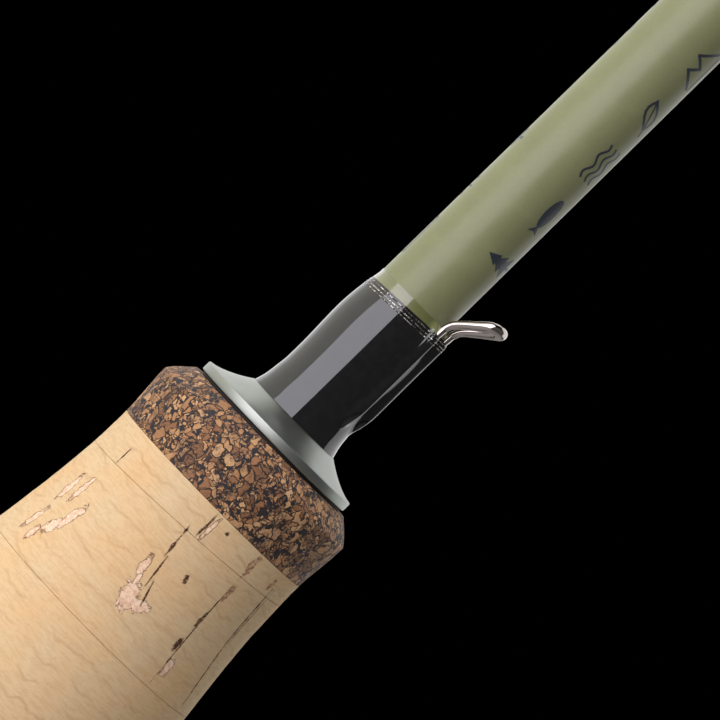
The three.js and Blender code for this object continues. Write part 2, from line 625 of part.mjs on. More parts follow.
function buildFoot(butt) {
  // the outline seen from the reel, extruded down from the rod's axis
  const sizes = [FOOT_LENGTH, FOOT_BLOCK_LENGTH, FOOT_WIDTH, FOOT_TIP_WIDTH];
  const [halfLong, halfBlock, halfWide, halfTip] = sizes.map(
    (size) => size / 2,
  );
  const plan = solidOf(
    new THREE.ExtrudeGeometry(
      new THREE.Shape([
        [-halfTip + FOOT_CORNER, -halfLong], [halfTip - FOOT_CORNER, -halfLong],
        [halfTip, -halfLong + FOOT_CORNER],
        [halfWide, -halfBlock], [halfWide, halfBlock],
        [halfTip, halfLong - FOOT_CORNER], [halfTip - FOOT_CORNER, halfLong],
        [-halfTip + FOOT_CORNER, halfLong],
        [-halfTip, halfLong - FOOT_CORNER], [-halfWide, halfBlock], [-halfWide, -halfBlock],
        [-halfTip, -halfLong + FOOT_CORNER],
      ].map(([x, z]) => new THREE.Vector2(x, z))),
      { depth: FOOT_BLOCK_DROP, bevelEnabled: false },
    ).rotateX(Math.PI / 2),
  ).translate([0, 0, footMiddle]);
  // the outline seen from the side, which thins the foot towards its tips
  const root = halfBlock + FOOT_ROOT_LENGTH;
  const profile = solidOf(
    new THREE.ExtrudeGeometry(
      new THREE.Shape([
        [-halfLong, 0], [-halfLong, footDropAt(halfLong)], [-root, footDropAt(root)],
        [-halfBlock, FOOT_BLOCK_DROP], [halfBlock, FOOT_BLOCK_DROP],
        [root, footDropAt(root)], [halfLong, footDropAt(halfLong)], [halfLong, 0],
      ].map(([z, drop]) => new THREE.Vector2(z, drop))),
      { depth: 2 * FOOT_WIDTH, bevelEnabled: false },
    )
      .translate(0, 0, -FOOT_WIDTH)
      .rotateY(-Math.PI / 2)
      .rotateZ(Math.PI),
  ).translate([0, 0, footMiddle]);
  const raw = plan.intersect(profile).subtract(rod(saddleR, footStart - 2, footEnd + 2));
  const holes = screwHoles().map((hole) => hole.rotate([0, 90, 0]).translate([0, -reelDrop, footMiddle]));
  add(butt, "reel_foot", holes.reduce((left, hole) => left.subtract(hole), raw), gunmetal);
}

function buildFrame(reel) {
  let frame = ring(frameInner, FRAME_R, FRAME_BACK, FRAME_FRONT, REEL_SIDES);
  const windowHeight = FRAME_FRONT - FRAME_RING - plateInside;
  const windowMiddle = plateInside + windowHeight / 2;
  const edges = [0, ...FRAME_POSTS, 360];
  const post = (2 * Math.asin(POST_WIDTH / 2 / FRAME_R) * 180) / Math.PI;
  const platformAngle = (2 * Math.asin((FOOT_BLOCK_LENGTH / 2 + 1) / FRAME_R) * 180) / Math.PI;
  for (let i = 0; i + 1 < edges.length; i++) {
    const from = edges[i] + (i === 0 ? platformAngle : post) / 2;
    const to = edges[i + 1] - (i + 2 === edges.length ? platformAngle : post) / 2;
    const wedge = new THREE.Shape();
    wedge.moveTo(0, 0);
    for (let k = 0; k <= 4; k++) {
      const angle = ((from + ((to - from) * k) / 4) * Math.PI) / 180;
      wedge.lineTo(1.3 * FRAME_R * Math.sin(angle), 1.3 * FRAME_R * Math.cos(angle));
    }
    wedge.closePath();
    const cutter = solidOf(new THREE.ExtrudeGeometry(wedge, { depth: windowHeight, bevelEnabled: false }));
    frame = frame.subtract(cutter.translate([0, 0, windowMiddle - windowHeight / 2]));
  }
  const plate = rod(frameInner + 0.5, FRAME_BACK, plateInside, REEL_SIDES);
  const housing = ring(HOUSING_R - HOUSING_WALL, HOUSING_R, FRAME_BACK + 1, HOUSING_TOP, REEL_SIDES);
  frame = frame.add(plate).add(housing);
  const platform = block(FOOT_BLOCK_LENGTH, platformTop - frameInner + 4, PLATFORM_WIDTH, 0,
    (platformTop + frameInner - 4) / 2, PLATFORM_MIDDLE).subtract(rod(frameInner, -20, 20, REEL_SIDES));
  frame = frame.add(platform);
  const portsAt = frameInner - FRAME_PORTS_FROM_EDGE;
  for (let i = 0; i < PORTS; i++) {
    const angle = ((i + 0.5) * 2 * Math.PI) / PORTS;
    frame = frame.subtract(
      rod(PORT_R, FRAME_BACK - 1, plateInside + 1, PORT_SIDES)
        .translate([portsAt * Math.sin(angle), portsAt * Math.cos(angle), 0]),
    );
  }
  for (const hole of screwHoles()) frame = frame.subtract(hole);
  frame = frame.subtract(rod(DRAG_SCREW_R + SLIDE_GAP, FRAME_BACK - 1, plateInside + 1, HUB_SIDES));
  add(reel, "reel_frame", frame, gunmetal);
  reelScrews().forEach((screw, i) => add(reel, `foot_screw_${i + 1}`, screw, brass));
}

function buildDrag(reel, hub, dragKnob) {
  const inside = HOUSING_R - HOUSING_WALL - SLIDE_GAP;
  const plateTop = plateInside + 2;
  const plate = ring(SPINDLE_R + SLIDE_GAP, inside, plateInside + BUTT_GAP, plateTop, HUB_SIDES);
  add(reel, "pressure_plate", plate, brass);
  const disc = ring(SPINDLE_R + 1, inside, plateTop + BUTT_GAP, plateTop + 1.6, HUB_SIDES);
  add(reel, "drag_washer", disc, carbon);
  add(reel, "spindle", turned([
    [0, plateInside + 0.4], [SPINDLE_R, plateInside + 0.4],
    [SPINDLE_R, SPOOL_FACE + 2], [SPINDLE_R - 0.6, SPOOL_FACE + 2.6],
    [0, SPOOL_FACE + 2.6],
  ], HUB_SIDES), satin);
  const drive = plateTop + 1.6 + BUTT_GAP;
  add(hub, "clutch_sleeve", turned([
    [inside, drive], [inside, drive + 1.2], [SLEEVE_R, drive + 1.2], [SLEEVE_R, SPOOL_FACE - 1.5],
    [SPINDLE_R + SLIDE_GAP, SPOOL_FACE - 1.5], [SPINDLE_R + SLIDE_GAP, drive],
  ], HUB_SIDES), brass);
  const knobEnd = FRAME_BACK - BUTT_GAP - 0.2;
  const knobStart = knobEnd - DRAG_KNOB_LENGTH;
  add(dragKnob, "drag_knob", scalloped(DRAG_KNOB_R, 0, 0.7, 14, knobStart, knobEnd)
    .subtract(rod(DRAG_SCREW_R + GLUE_GAP, knobStart + 2, knobEnd + 1, HUB_SIDES)), gunmetal);
  add(dragKnob, "drag_screw", rod(DRAG_SCREW_R, knobStart + 2.2, plateInside - 0.1, HUB_SIDES), brass);
}

// A round hole through the spool's face, this share of a turn round from the foot.
function port(radius, fromAxle, share, from) {
  const angle = 2 * Math.PI * share;
  return rod(radius, from, SPOOL_FACE + 1, PORT_SIDES)
    .translate([fromAxle * Math.sin(angle), fromAxle * Math.cos(angle), 0]);
}

function buildSpool(spool, handleKnob, spoolCap) {
  const bore = SLEEVE_R + SLIDE_GAP;
  const hubR = bore + 2.4;
  const arborInner = ARBOR_R - ARBOR_WALL;
  const web = SPOOL_FACE - 3;
  const ringGap = 0.6;
  const rimStart = FRAME_FRONT + ringGap;
  let body = turned([
    [hubR, HOUSING_TOP + 0.7], [hubR, web - 1.4], [arborInner, web - 1.4], [arborInner, SPOOL_REAR],
    [spoolFlangeR, SPOOL_REAR], [spoolFlangeR, SPOOL_REAR + 1.2], [ARBOR_R, SPOOL_REAR + 1.9],
    [ARBOR_R, web - 0.5], [spoolFlangeR, web + 0.5], [spoolFlangeR, rimStart], [rimR, rimStart],
    [rimR, rimStart + RIM_LENGTH - 0.5], [rimR - 0.6, rimStart + RIM_LENGTH],
    [rimR - 2.4, rimStart + RIM_LENGTH], [spoolFlangeR - 2.2, SPOOL_FACE], [bore, SPOOL_FACE],
    [bore, HOUSING_TOP + 0.7],
  ], REEL_SIDES);
  for (let i = 0; i < PORTS; i++) {
    if (i % (PORTS / 2) === 0) continue; // the crank and the counterweight are there
    body = body.subtract(port(PORT_R, crankR - PORTS_INSIDE_CRANK, i / PORTS, web - 2));
  }
  for (let i = 0; i < INNER_PORTS; i++)
    body = body.subtract(port(INNER_PORT_R, (hubR + arborInner) / 2, (i + 0.5) / INNER_PORTS, web - 3));
  add(spool, "spool", body, gunmetal);

  const teeth = new THREE.Shape();
  const outer = arborInner - GLUE_GAP;
  teeth.absarc(0, 0, outer, 0, 2 * Math.PI, false);
  const hole = new THREE.Path();
  for (let i = 0; i < CLICK_TEETH * 2; i++) {
    const angle = (Math.PI * i) / CLICK_TEETH;
    const r = i % 2 ? CLICK_TIP_R : CLICK_ROOT_R;
    const place = [r * Math.cos(angle), r * Math.sin(angle)];
    if (i) hole.lineTo(...place);
    else hole.moveTo(...place);
  }
  hole.closePath();
  teeth.holes.push(hole);
  add(spool, "click_gear", new THREE.ExtrudeGeometry(teeth, {
    depth: CLICK_THICKNESS, bevelEnabled: false, curveSegments: REEL_SIDES / 2,
  }).translate(0, 0, SPOOL_REAR + 0.3), brass);

  const crank = [0, -crankR, 0];
  const postBase = SPOOL_FACE + BUTT_GAP;
  const knobStart = postBase + 1.7;
  add(spool, "handle_post", turned([
    [0, postBase], [4.2, postBase], [4.2, postBase + 1.2], [POST_R, postBase + 1.2],
    [POST_R, knobStart + KNOB_LENGTH + 0.2], [2.9, knobStart + KNOB_LENGTH + 0.2],
    [2.6, knobStart + KNOB_LENGTH + 1.3], [0, knobStart + KNOB_LENGTH + 1.3],
  ], HUB_SIDES).translate(crank), satin);
  const knobProfile = [[0, 0.78], [0.06, 0.88], [0.3, 0.82], [0.62, 0.9], [0.88, 1], [0.96, 0.96], [1, 0.84]];
  add(handleKnob, "handle_knob", turned([
    ...knobProfile.map(([share, r]) => [r * KNOB_R, knobStart + share * KNOB_LENGTH]),
    [POST_R + SLIDE_GAP, knobStart + KNOB_LENGTH], [POST_R + SLIDE_GAP, knobStart],
  ], HUB_SIDES).translate(crank), walnut);
  add(spool, "counterweight", turned([
    [0, postBase], [5, postBase], [5, postBase + 2.6], [4.2, postBase + 3.4], [0, postBase + 3.4],
  ], HUB_SIDES).translate([0, crankR, 0]), satin);

  const capStart = SPOOL_FACE + 0.4;
  const capTop = SPOOL_FACE + 5;
  add(spoolCap, "spool_cap", scalloped(SPOOL_CAP_R, 0, 0.35, 12, capStart, capTop)
    .subtract(rod(SPINDLE_R + SLIDE_GAP, capStart - 1, SPOOL_FACE + 3.2, HUB_SIDES)), satin);
}

function buildClick(reel, pawl) {
  const floor = plateInside + BUTT_GAP;
  const top = SPOOL_REAR + 0.3 + CLICK_THICKNESS;
  add(reel, "pawl_pin", rod(PAWL_PIN_R, floor, top + 0.6, 12).translate([0, -PAWL_PIVOT_R, 0]), satin);
  const shape = new THREE.Shape();
  shape.moveTo(-1.5, 1.35);
  shape.lineTo(-1.7, -0.3);
  shape.lineTo(0, -PAWL_REACH);
  shape.lineTo(1.7, -0.3);
  shape.lineTo(1.5, 1.35);
  shape.closePath();
  const thickness = { depth: top - floor - 0.5, bevelEnabled: false };
  add(pawl, "click_pawl", solidOf(new THREE.ExtrudeGeometry(shape, thickness))
    .translate([0, -PAWL_PIVOT_R, floor + 0.4])
    .subtract(rod(PAWL_PIN_R + SLIDE_GAP, floor - 1, top + 1, 12).translate([0, -PAWL_PIVOT_R, 0])), brass);
  const springZ = floor + 0.9;
  add(reel, "click_spring", wire([
    [-8.2, -11.6, springZ], [-5.6, -12.2, springZ], [-3.4, -13.1, springZ], [-2.3, -12.6, springZ],
  ], 0.3, 12, 6), satin);
}

// ---------- the whole ----------
const outfit = new THREE.Group();
const group = (parent = outfit) => {
  const made = new THREE.Group();
  parent.add(made);
  return made;
};
const butt = group();
const mid = group(butt);
const tip = group(mid);
const slidingHood = group(butt);
const lockNut = group(slidingHood);
const sections = buildBlanks(butt, mid, tip);
buildSeat(butt, slidingHood, lockNut);
buildGrip(butt);
buildFront(butt);
buildGuides(mid, tip, sections);
buildFoot(butt);

// the reel's own frame: its z is the rod's X, and its y is the rod's Y
const reel = group(butt);
reel.position.set(0, -reelDrop, footMiddle);
reel.rotation.y = Math.PI / 2;
const spool = group(reel);
buildFrame(reel);
buildDrag(reel, spool, group(reel));
buildSpool(spool, group(spool), group(reel));
buildClick(reel, group(reel));

export default outfit;
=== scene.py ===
"""A three-piece small-stream fly rod and its fly reel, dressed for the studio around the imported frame.

Sizes are in millimetres, as on the workshop drawing, and become metres where a mesh is made. +Z runs from the
butt to the tip. An azimuth is counted in degrees round the rod from -Y, where the reel and the guides are.
"""

import logging
import math
from collections.abc import Callable, Sequence
from dataclasses import dataclass
from enum import Enum
from functools import cached_property, partial

import bmesh
import bpy
from bmesh.types import BMesh
from mathutils import Matrix, Vector, noise


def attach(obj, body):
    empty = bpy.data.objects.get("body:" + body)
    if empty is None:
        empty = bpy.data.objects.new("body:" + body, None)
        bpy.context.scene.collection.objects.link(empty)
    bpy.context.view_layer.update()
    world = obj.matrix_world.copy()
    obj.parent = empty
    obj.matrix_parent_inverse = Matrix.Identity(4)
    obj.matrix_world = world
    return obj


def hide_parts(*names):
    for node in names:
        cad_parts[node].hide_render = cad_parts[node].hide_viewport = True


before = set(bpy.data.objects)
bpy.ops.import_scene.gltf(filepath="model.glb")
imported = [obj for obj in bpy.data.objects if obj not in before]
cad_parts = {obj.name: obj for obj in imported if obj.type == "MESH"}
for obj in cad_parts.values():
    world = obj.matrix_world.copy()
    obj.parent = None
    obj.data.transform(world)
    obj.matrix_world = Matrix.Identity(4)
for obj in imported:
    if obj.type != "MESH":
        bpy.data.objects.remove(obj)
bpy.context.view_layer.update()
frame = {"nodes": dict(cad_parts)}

MM = 0.001
WELD = 1e-6
SHOW_SIDE = -66.0  # azimuth that the camera looks from

log = logging.getLogger("fly_rod")
Profile = Sequence[tuple[float, float]]
Ring = Callable[[float], Vector]
Radius = Callable[[float], float]
Colour = tuple[int, int, int]
Look = bpy.types.Material
Node = bpy.types.Node
Socket = bpy.types.NodeSocket
Value = Socket | float | Sequence[float] | None


class Body(Enum):
    """The bodies that a piece can ride on."""

    BUTT = "butt_section"
    MIDDLE = "middle_section"
    TIP = "tip_section"
    HOOD = "seat_hood"
    NUT = "seat_nut"
    SPOOL = "reel_spool"
    KNOB = "crank_knob"
    DRAG = "drag_dial"
    SPOOL_NUT = "spool_nut"
    PAWL = "pawl"


class Slot(Enum):
    """The record's material slots."""

    CORK = "cork"
    BURL = "burl_cork"
    ALUMINIUM = "aluminium"
    RUBBER = "rubber"
    WRAP = "thread_wrap"
    BLANK = "blank"
    CHROME = "chrome"
    WALNUT = "walnut"
    CERAMIC = "ceramic"
    GUNMETAL = "gunmetal"
    DISC = "drag_disc"
    BRASS = "brass"


# ---------- shapes ----------
def revolve(profile: Profile, sides: int = 96, closed: bool = True) -> BMesh:
    """Turns a profile round +Z.

    Args:
        profile: (radius, height) places in millimetres.
        sides: Steps in the full turn.
        closed: Whether the last place joins the first. A profile that starts and ends on the axis doesn't.

    Returns:
        A mesh in metres, with its faces pointing out.
    """
    bm = bmesh.new()
    verts = [bm.verts.new((r * MM, 0, z * MM)) for r, z in profile]
    edges = [bm.edges.new(pair) for pair in zip(verts, verts[1:])]
    if closed:
        edges.append(bm.edges.new((verts[-1], verts[0])))
    bmesh.ops.spin(
        bm, geom=verts + edges, cent=(0, 0, 0), axis=(0, 0, 1), angle=2 * math.pi, steps=sides, use_merge=True
    )
    bmesh.ops.remove_doubles(bm, verts=bm.verts, dist=WELD)
    bmesh.ops.recalc_face_normals(bm, faces=bm.faces)
    return bm


def polar(radius: float, angle: float, height: float) -> Vector:
    """Returns the place at a radius, an angle in radians and a height."""
    return Vector((radius * math.cos(angle), radius * math.sin(angle), height))


def level_ring(height: float, radius: Radius) -> Ring:
    """Returns a ring for skin at one height, whose radius depends on the angle."""
    return lambda angle: polar(radius(angle), angle, height)


def eased(edge: float, steps: int = 4) -> list[tuple[float, float]]:
    """Returns a rounded edge's places: how far along from its end, and how far in from its side."""
    turns = [math.pi / 2 * i / steps for i in range(steps + 1)]
    return [(edge * (1 - math.cos(t)), edge * (1 - math.sin(t))) for t in turns]


def knurled(outside: float, dip: float, count: int) -> Callable[[float, float], Ring]:
    """Returns a maker of grooved rings, from a height and how far the ring is drawn in."""
    def radius(angle: float, trim: float) -> float:
        """Returns the radius at an angle, grooved unless the ring is drawn in further."""
        return min(outside - dip * (1 - math.cos(count * angle)) / 2, outside - trim)

    return lambda height, trim: level_ring(height, partial(radius, trim=trim))


def ring_edges(verts: Sequence[bmesh.types.BMVert]) -> list[bmesh.types.BMEdge]:
    """Returns the edges whose two ends are both among these vertices."""
    among = set(verts)
    return list({edge for vert in verts for edge in vert.link_edges if edge.other_vert(vert) in among})


def skin(stations: Sequence[Ring], sides: int, closed: bool = False) -> BMesh:
    """Skins closed rings that go round the axis one after another.

    Args:
        stations: One function for each ring, from an angle in radians to a place in millimetres.
        sides: Places on each ring.
        closed: Whether the last ring joins the first, as in a tube's wall. Otherwise both ends are filled.

    Returns:
        A mesh in metres, with its faces pointing out.
    """
    bm = bmesh.new()
    verts = bmesh.ops.create_circle(bm, segments=sides, radius=1.0)["verts"]
    angles = [math.atan2(vert.co.y, vert.co.x) for vert in verts]
    first = list(verts)
    for number, station in enumerate(stations):
        if number:
            made = bmesh.ops.extrude_edge_only(bm, edges=ring_edges(verts))["geom"]
            below = set(verts)
            above = {}
            for vert in made:
                if isinstance(vert, bmesh.types.BMVert):
                    ends = (edge.other_vert(vert) for edge in vert.link_edges)
                    above[next(end for end in ends if end in below)] = vert
            verts = [above[vert] for vert in verts]
        for vert, angle in zip(verts, angles):
            vert.co = station(angle) * MM
    if closed:
        bmesh.ops.bridge_loops(bm, edges=ring_edges(first) + ring_edges(verts))
    else:
        bmesh.ops.holes_fill(bm, edges=bm.edges, sides=sides)
    bmesh.ops.recalc_face_normals(bm, faces=bm.faces)
    return bm


def through(places: Sequence[Sequence[float]], per: int = 6) -> list[Vector]:
    """Smooths a path.

    Args:
        places: The places that the path goes through.
        per: Steps between two places.

    Returns:
        The places along a Catmull-Rom curve.
    """
    known = [Vector(place) for place in places]
    ends = [2 * known[0] - known[1], *known, 2 * known[-1] - known[-2]]
    path = []
    for before, start, end, after in zip(ends, ends[1:], ends[2:], ends[3:]):
        for step in range(per):
            t = step / per
            slope = (end - before) * t
            curve = (2 * before - 5 * start + 4 * end - after) * t * t
            twist = (3 * start - before - 3 * end + after) * t**3
            path.append(0.5 * (2 * start + slope + curve + twist))
    return [*path, known[-1]]


def sweep(
    path: Sequence[Vector],
    radius: float,
    sides: int = 20,
    looped: bool = False,
    shares: Sequence[float] | None = None,
) -> BMesh:
    """Draws a round wire along a path.

    Args:
        path: Places in millimetres, close enough together to look smooth.
        radius: The wire's radius in millimetres.
        sides: Sides of its section.
        looped: Whether the path is a closed ring.
        shares: The share of the radius at each place, where the wire is thinner.

    Returns:
        A mesh in metres, with its faces pointing out.
    """
    last = len(path) - 1
    before = [path[max(0, i - 1)] if not looped else path[i - 1] for i in range(len(path))]
    after = [path[min(last, i + 1)] if not looped else path[(i + 1) % len(path)] for i in range(len(path))]
    headings = [(b - a).normalized() for a, b in zip(before, after)]
    bm = bmesh.new()
    sizes = shares or [1.0] * len(path)
    turn = Vector((0, 0, 1)).rotation_difference(headings[0]).to_matrix().to_4x4()
    start = Matrix.Translation(path[0] * MM) @ turn
    verts = bmesh.ops.create_circle(bm, segments=sides, radius=radius * sizes[0] * MM, matrix=start)["verts"]
    first = list(verts)
    for i in range(1, len(path)):
        made = bmesh.ops.extrude_edge_only(bm, edges=ring_edges(verts))["geom"]
        verts = [part for part in made if isinstance(part, bmesh.types.BMVert)]
        bend = headings[i - 1].rotation_difference(headings[i]).to_matrix().to_4x4()
        grow = Matrix.Scale(sizes[i] / sizes[i - 1], 4)
        move = Matrix.Translation(path[i] * MM) @ grow @ bend @ Matrix.Translation(-path[i - 1] * MM)
        bmesh.ops.transform(bm, matrix=move, verts=verts)
    if looped:
        bmesh.ops.bridge_loops(bm, edges=ring_edges(first) + ring_edges(verts))
    else:
        bmesh.ops.holes_fill(bm, edges=bm.edges, sides=sides)
    bmesh.ops.recalc_face_normals(bm, faces=bm.faces)
    return bm


def slab(width: float, depth: float, height: float, centre: Sequence[float]) -> BMesh:
    """Makes a block from a cube; sizes and the place of its middle are in millimetres."""
    bm = bmesh.new()
    size = Matrix.Diagonal((width * MM, depth * MM, height * MM, 1))
    bmesh.ops.create_cube(bm, size=1.0, matrix=Matrix.Translation(Vector(centre) * MM) @ size)
    return bm


def round_edges(bm: BMesh, size: float, steps: int = 3, sharper_than: float = 30.0) -> BMesh:
    """Rounds every sharp edge.

    Args:
        bm: The mesh, changed in place.
        size: Width of the rounding in millimetres.
        steps: Segments of the rounding.
        sharper_than: Smallest fold, in degrees, that counts as sharp.

    Returns:
        The same mesh.
    """
    limit = math.radians(sharper_than)
    sharp = [edge for edge in bm.edges if edge.is_manifold and edge.calc_face_angle(0.0) > limit]
    bmesh.ops.bevel(
        bm, geom=sharp, offset=size * MM, offset_type="OFFSET", segments=steps, profile=0.5, affect="EDGES",
        material=-1, clamp_overlap=True,
    )
    return bm


def node_copy(node: str) -> BMesh:
    """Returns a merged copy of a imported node's mesh, with its flat faces joined."""
    bm = bmesh.new()
    bm.from_mesh(frame["nodes"][node].data)
    bmesh.ops.remove_doubles(bm, verts=bm.verts, dist=WELD)
    bmesh.ops.dissolve_limit(bm, angle_limit=math.radians(0.6), verts=bm.verts, edges=bm.edges)
    return bm


def shifted(bm: BMesh, offset: Sequence[float]) -> BMesh:
    """Moves a mesh by an offset in millimetres and returns it."""
    bmesh.ops.translate(bm, vec=Vector(offset) * MM, verts=bm.verts)
    return bm


def settled(bm: BMesh, name: str) -> bpy.types.Mesh:
    """Stores a mesh under a name and frees the one that was edited."""
    mesh = bpy.data.meshes.new(name)
    bm.to_mesh(mesh)
    bm.free()
    return mesh


def linked(name: str, data: bpy.types.ID) -> bpy.types.Object:
    """Makes an object of its data and puts it in the scene."""
    made = bpy.data.objects.new(name, data)
    bpy.context.scene.collection.objects.link(made)
    return made


def joined(*parts: BMesh) -> BMesh:
    """Puts the meshes together in the first one and returns it."""
    whole = parts[0]
    for part in parts[1:]:
        carrier = settled(part, "carrier")
        whole.from_mesh(carrier)
        bpy.data.meshes.remove(carrier)
    return whole


def carved(bm: BMesh, cutter: BMesh) -> BMesh:
    """Cuts one mesh out of another.

    Args:
        bm: The mesh that is cut.
        cutter: One or more closed shapes that are taken out of it.

    Returns:
        The cut mesh.
    """
    shapes = (("blank_shape", bm), ("cutter", cutter))
    pair = [linked(label, settled(shape, label)) for label, shape in shapes]
    cut = pair[0].modifiers.new("cut", "BOOLEAN")
    cut.operation = "DIFFERENCE"
    cut.solver = "EXACT"
    cut.object = pair[1]
    graph = bpy.context.evaluated_depsgraph_get()
    result = bmesh.new()
    result.from_object(pair[0], graph)
    for made in pair:
        mesh = made.data
        bpy.data.objects.remove(made)
        bpy.data.meshes.remove(mesh)
    bmesh.ops.remove_doubles(result, verts=result.verts, dist=WELD)
    return result


def publish(
    bm: BMesh, name: str, look: Look, body: Body, slot: Slot, *nodes: str, sharp: float = 32.0
) -> None:
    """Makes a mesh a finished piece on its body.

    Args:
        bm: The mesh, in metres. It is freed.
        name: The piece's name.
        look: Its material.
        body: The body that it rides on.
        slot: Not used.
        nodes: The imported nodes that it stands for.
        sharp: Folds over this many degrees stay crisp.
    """
    limit = math.radians(sharp)
    for face in bm.faces:
        face.smooth = True
    for edge in bm.edges:
        edge.smooth = edge.is_manifold and edge.calc_face_angle(0.0) < limit
    mesh = settled(bm, name)
    mesh.materials.append(look)
    piece = linked(name, mesh)
    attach(piece, body.value)
    if nodes:
        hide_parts(*nodes)
    log.info("%s: %d faces on %s", name, len(mesh.polygons), body.value)


# ---------- node graphs ----------
def tint(red: int, green: int, blue: int) -> tuple[float, float, float, float]:
    """Returns a display colour, 0 to 255 a channel, as a linear one."""
    def linear(level: int) -> float:
        """Returns one channel as a linear share."""
        share = level / 255
        return share / 12.92 if share <= 0.04045 else ((share + 0.055) / 1.055) ** 2.4

    return (linear(red), linear(green), linear(blue), 1.0)


def shade(colour: Sequence[float], times: float, plus: float = 0.0) -> tuple[float, ...]:
    """Returns a linear colour made lighter or darker."""
    return (*(min(1.0, level * times + plus) for level in colour[:3]), 1.0)


@dataclass
class Graph:
    """A node tree with short ways to add nodes and join them."""

    tree: bpy.types.NodeTree

    def node(self, kind: str, **settings: object) -> Node:
        """Adds a node and sets the named properties."""
        made = self.tree.nodes.new(kind)
        for key, value in settings.items():
            setattr(made, key, value)
        return made

    def feed(self, socket: Socket, value: Value) -> None:
        """Links a socket into another, or sets its value."""
        if isinstance(value, Socket):
            self.tree.links.new(value, socket)
        elif value is not None:
            socket.default_value = value

    def dress(self, shader: Node, colour: Value, rough: Value, normal: Value) -> None:
        """Feeds a shader its colour, roughness and normal."""
        for key, value in (("Base Color", colour), ("Roughness", rough), ("Normal", normal)):
            self.feed(shader.inputs[key], value)

    def math(self, operation: str, a: Value, b: Value = None, c: Value = None, clamp: bool = False) -> Socket:
        """Adds a Math node and returns its result."""
        made = self.node("ShaderNodeMath", operation=operation, use_clamp=clamp)
        for socket, value in zip(made.inputs, (a, b, c)):
            self.feed(socket, value)
        return made.outputs[0]

    def times(self, a: Value, b: Value) -> Socket:
        """Returns a product."""
        return self.math("MULTIPLY", a, b)

    def plus(self, a: Value, b: Value) -> Socket:
        """Returns a sum."""
        return self.math("ADD", a, b)

    def minus(self, a: Value, b: Value) -> Socket:
        """Returns a difference."""
        return self.math("SUBTRACT", a, b)

    def vector(self, operation: str, a: Value, b: Value = None) -> Socket:
        """Adds a Vector Math node and returns its vector."""
        made = self.node("ShaderNodeVectorMath", operation=operation)
        self.feed(made.inputs[0], a)
        self.feed(made.inputs[1], b)
        return made.outputs[0]

    def stretched(self, place: Socket, across: float, along: float) -> Socket:
        """Returns a place scaled across the rod and along it, for a texture with a grain."""
        return self.vector("MULTIPLY", place, (across, across, along))

    def combine(self, x: Value, y: Value, z: Value) -> Socket:
        """Returns a vector of three values."""
        made = self.node("ShaderNodeCombineXYZ")
        for socket, value in zip(made.inputs, (x, y, z)):
            self.feed(socket, value)
        return made.outputs[0]

    def noise(
        self, at: Socket, scale: float, detail: float = 2.0, rough: float = 0.5, bend: float = 0.0
    ) -> Socket:
        """Returns a noise value from 0 to 1."""
        made = self.node("ShaderNodeTexNoise", noise_dimensions="3D")
        self.feed(made.inputs["Vector"], at)
        made.inputs["Scale"].default_value = scale
        made.inputs["Detail"].default_value = detail
        made.inputs["Roughness"].default_value = rough
        made.inputs["Distortion"].default_value = bend
        return made.outputs[0]

    def cells(self, at: Socket, scale: float, feature: str = "F1") -> Node:
        """Returns a Voronoi node."""
        made = self.node("ShaderNodeTexVoronoi", voronoi_dimensions="3D", feature=feature)
        self.feed(made.inputs["Vector"], at)
        made.inputs["Scale"].default_value = scale
        return made

    def band(
        self, value: Value, low: float, high: float, to_low: float = 0.0, to_high: float = 1.0
    ) -> Socket:
        """Returns the value as a smooth step between two limits."""
        made = self.node("ShaderNodeMapRange", interpolation_type="SMOOTHSTEP")
        for key, number in (("Value", value), ("From Min", low), ("From Max", high)):
            self.feed(made.inputs[key], number)
        made.inputs["To Min"].default_value = to_low
        made.inputs["To Max"].default_value = to_high
        return made.outputs[0]

    def mix(self, share: Value, a: Value, b: Value) -> Socket:
        """Returns two colours mixed."""
        made = self.node("ShaderNodeMix", data_type="RGBA")
        self.feed(made.inputs[0], share)
        self.feed(made.inputs[6], a)
        self.feed(made.inputs[7], b)
        return made.outputs[2]

    def ramp(self, value: Socket, stops: Sequence[tuple[float, Sequence[float]]]) -> Socket:
        """Returns a colour that depends on a value; stops are (place, colour)."""
        made = self.node("ShaderNodeValToRGB")
        colours = made.color_ramp
        for number, (place, colour) in enumerate(stops):
            stop = colours.elements[number] if number < 2 else colours.elements.new(place)
            stop.position = place
            stop.color = colour
        self.feed(made.inputs[0], value)
        return made.outputs[0]

    def bump(self, height: Socket, distance: float) -> Socket:
        """Returns a normal from a height; the distance is in millimetres."""
        made = self.node("ShaderNodeBump")
        made.inputs["Strength"].default_value = 1.0
        made.inputs["Distance"].default_value = distance * MM
        self.feed(made.inputs["Height"], height)
        return made.outputs[0]

    def group(self, shared: bpy.types.NodeTree, **inputs: Value) -> Node:
        """Places a node group and feeds its inputs by name."""
        made = self.node("ShaderNodeGroup")
        made.node_tree = shared
        for key, value in inputs.items():
            self.feed(made.inputs[key], value)
        return made


def new_group(name: str, inputs: dict[str, str], outputs: dict[str, str]) -> tuple[Graph, Node, Node]:
    """Starts a shader node group.

    Args:
        name: The group's name.
        inputs: Kind of each input socket, by name.
        outputs: Kind of each output socket, by name.

    Returns:
        Its graph, its input node and its output node.
    """
    tree = bpy.data.node_groups.new(name, "ShaderNodeTree")
    for direction, sockets in (("INPUT", inputs), ("OUTPUT", outputs)):
        for label, kind in sockets.items():
            tree.interface.new_socket(name=label, in_out=direction, socket_type=f"NodeSocket{kind}")
    graph = Graph(tree)
    return graph, graph.node("NodeGroupInput"), graph.node("NodeGroupOutput")


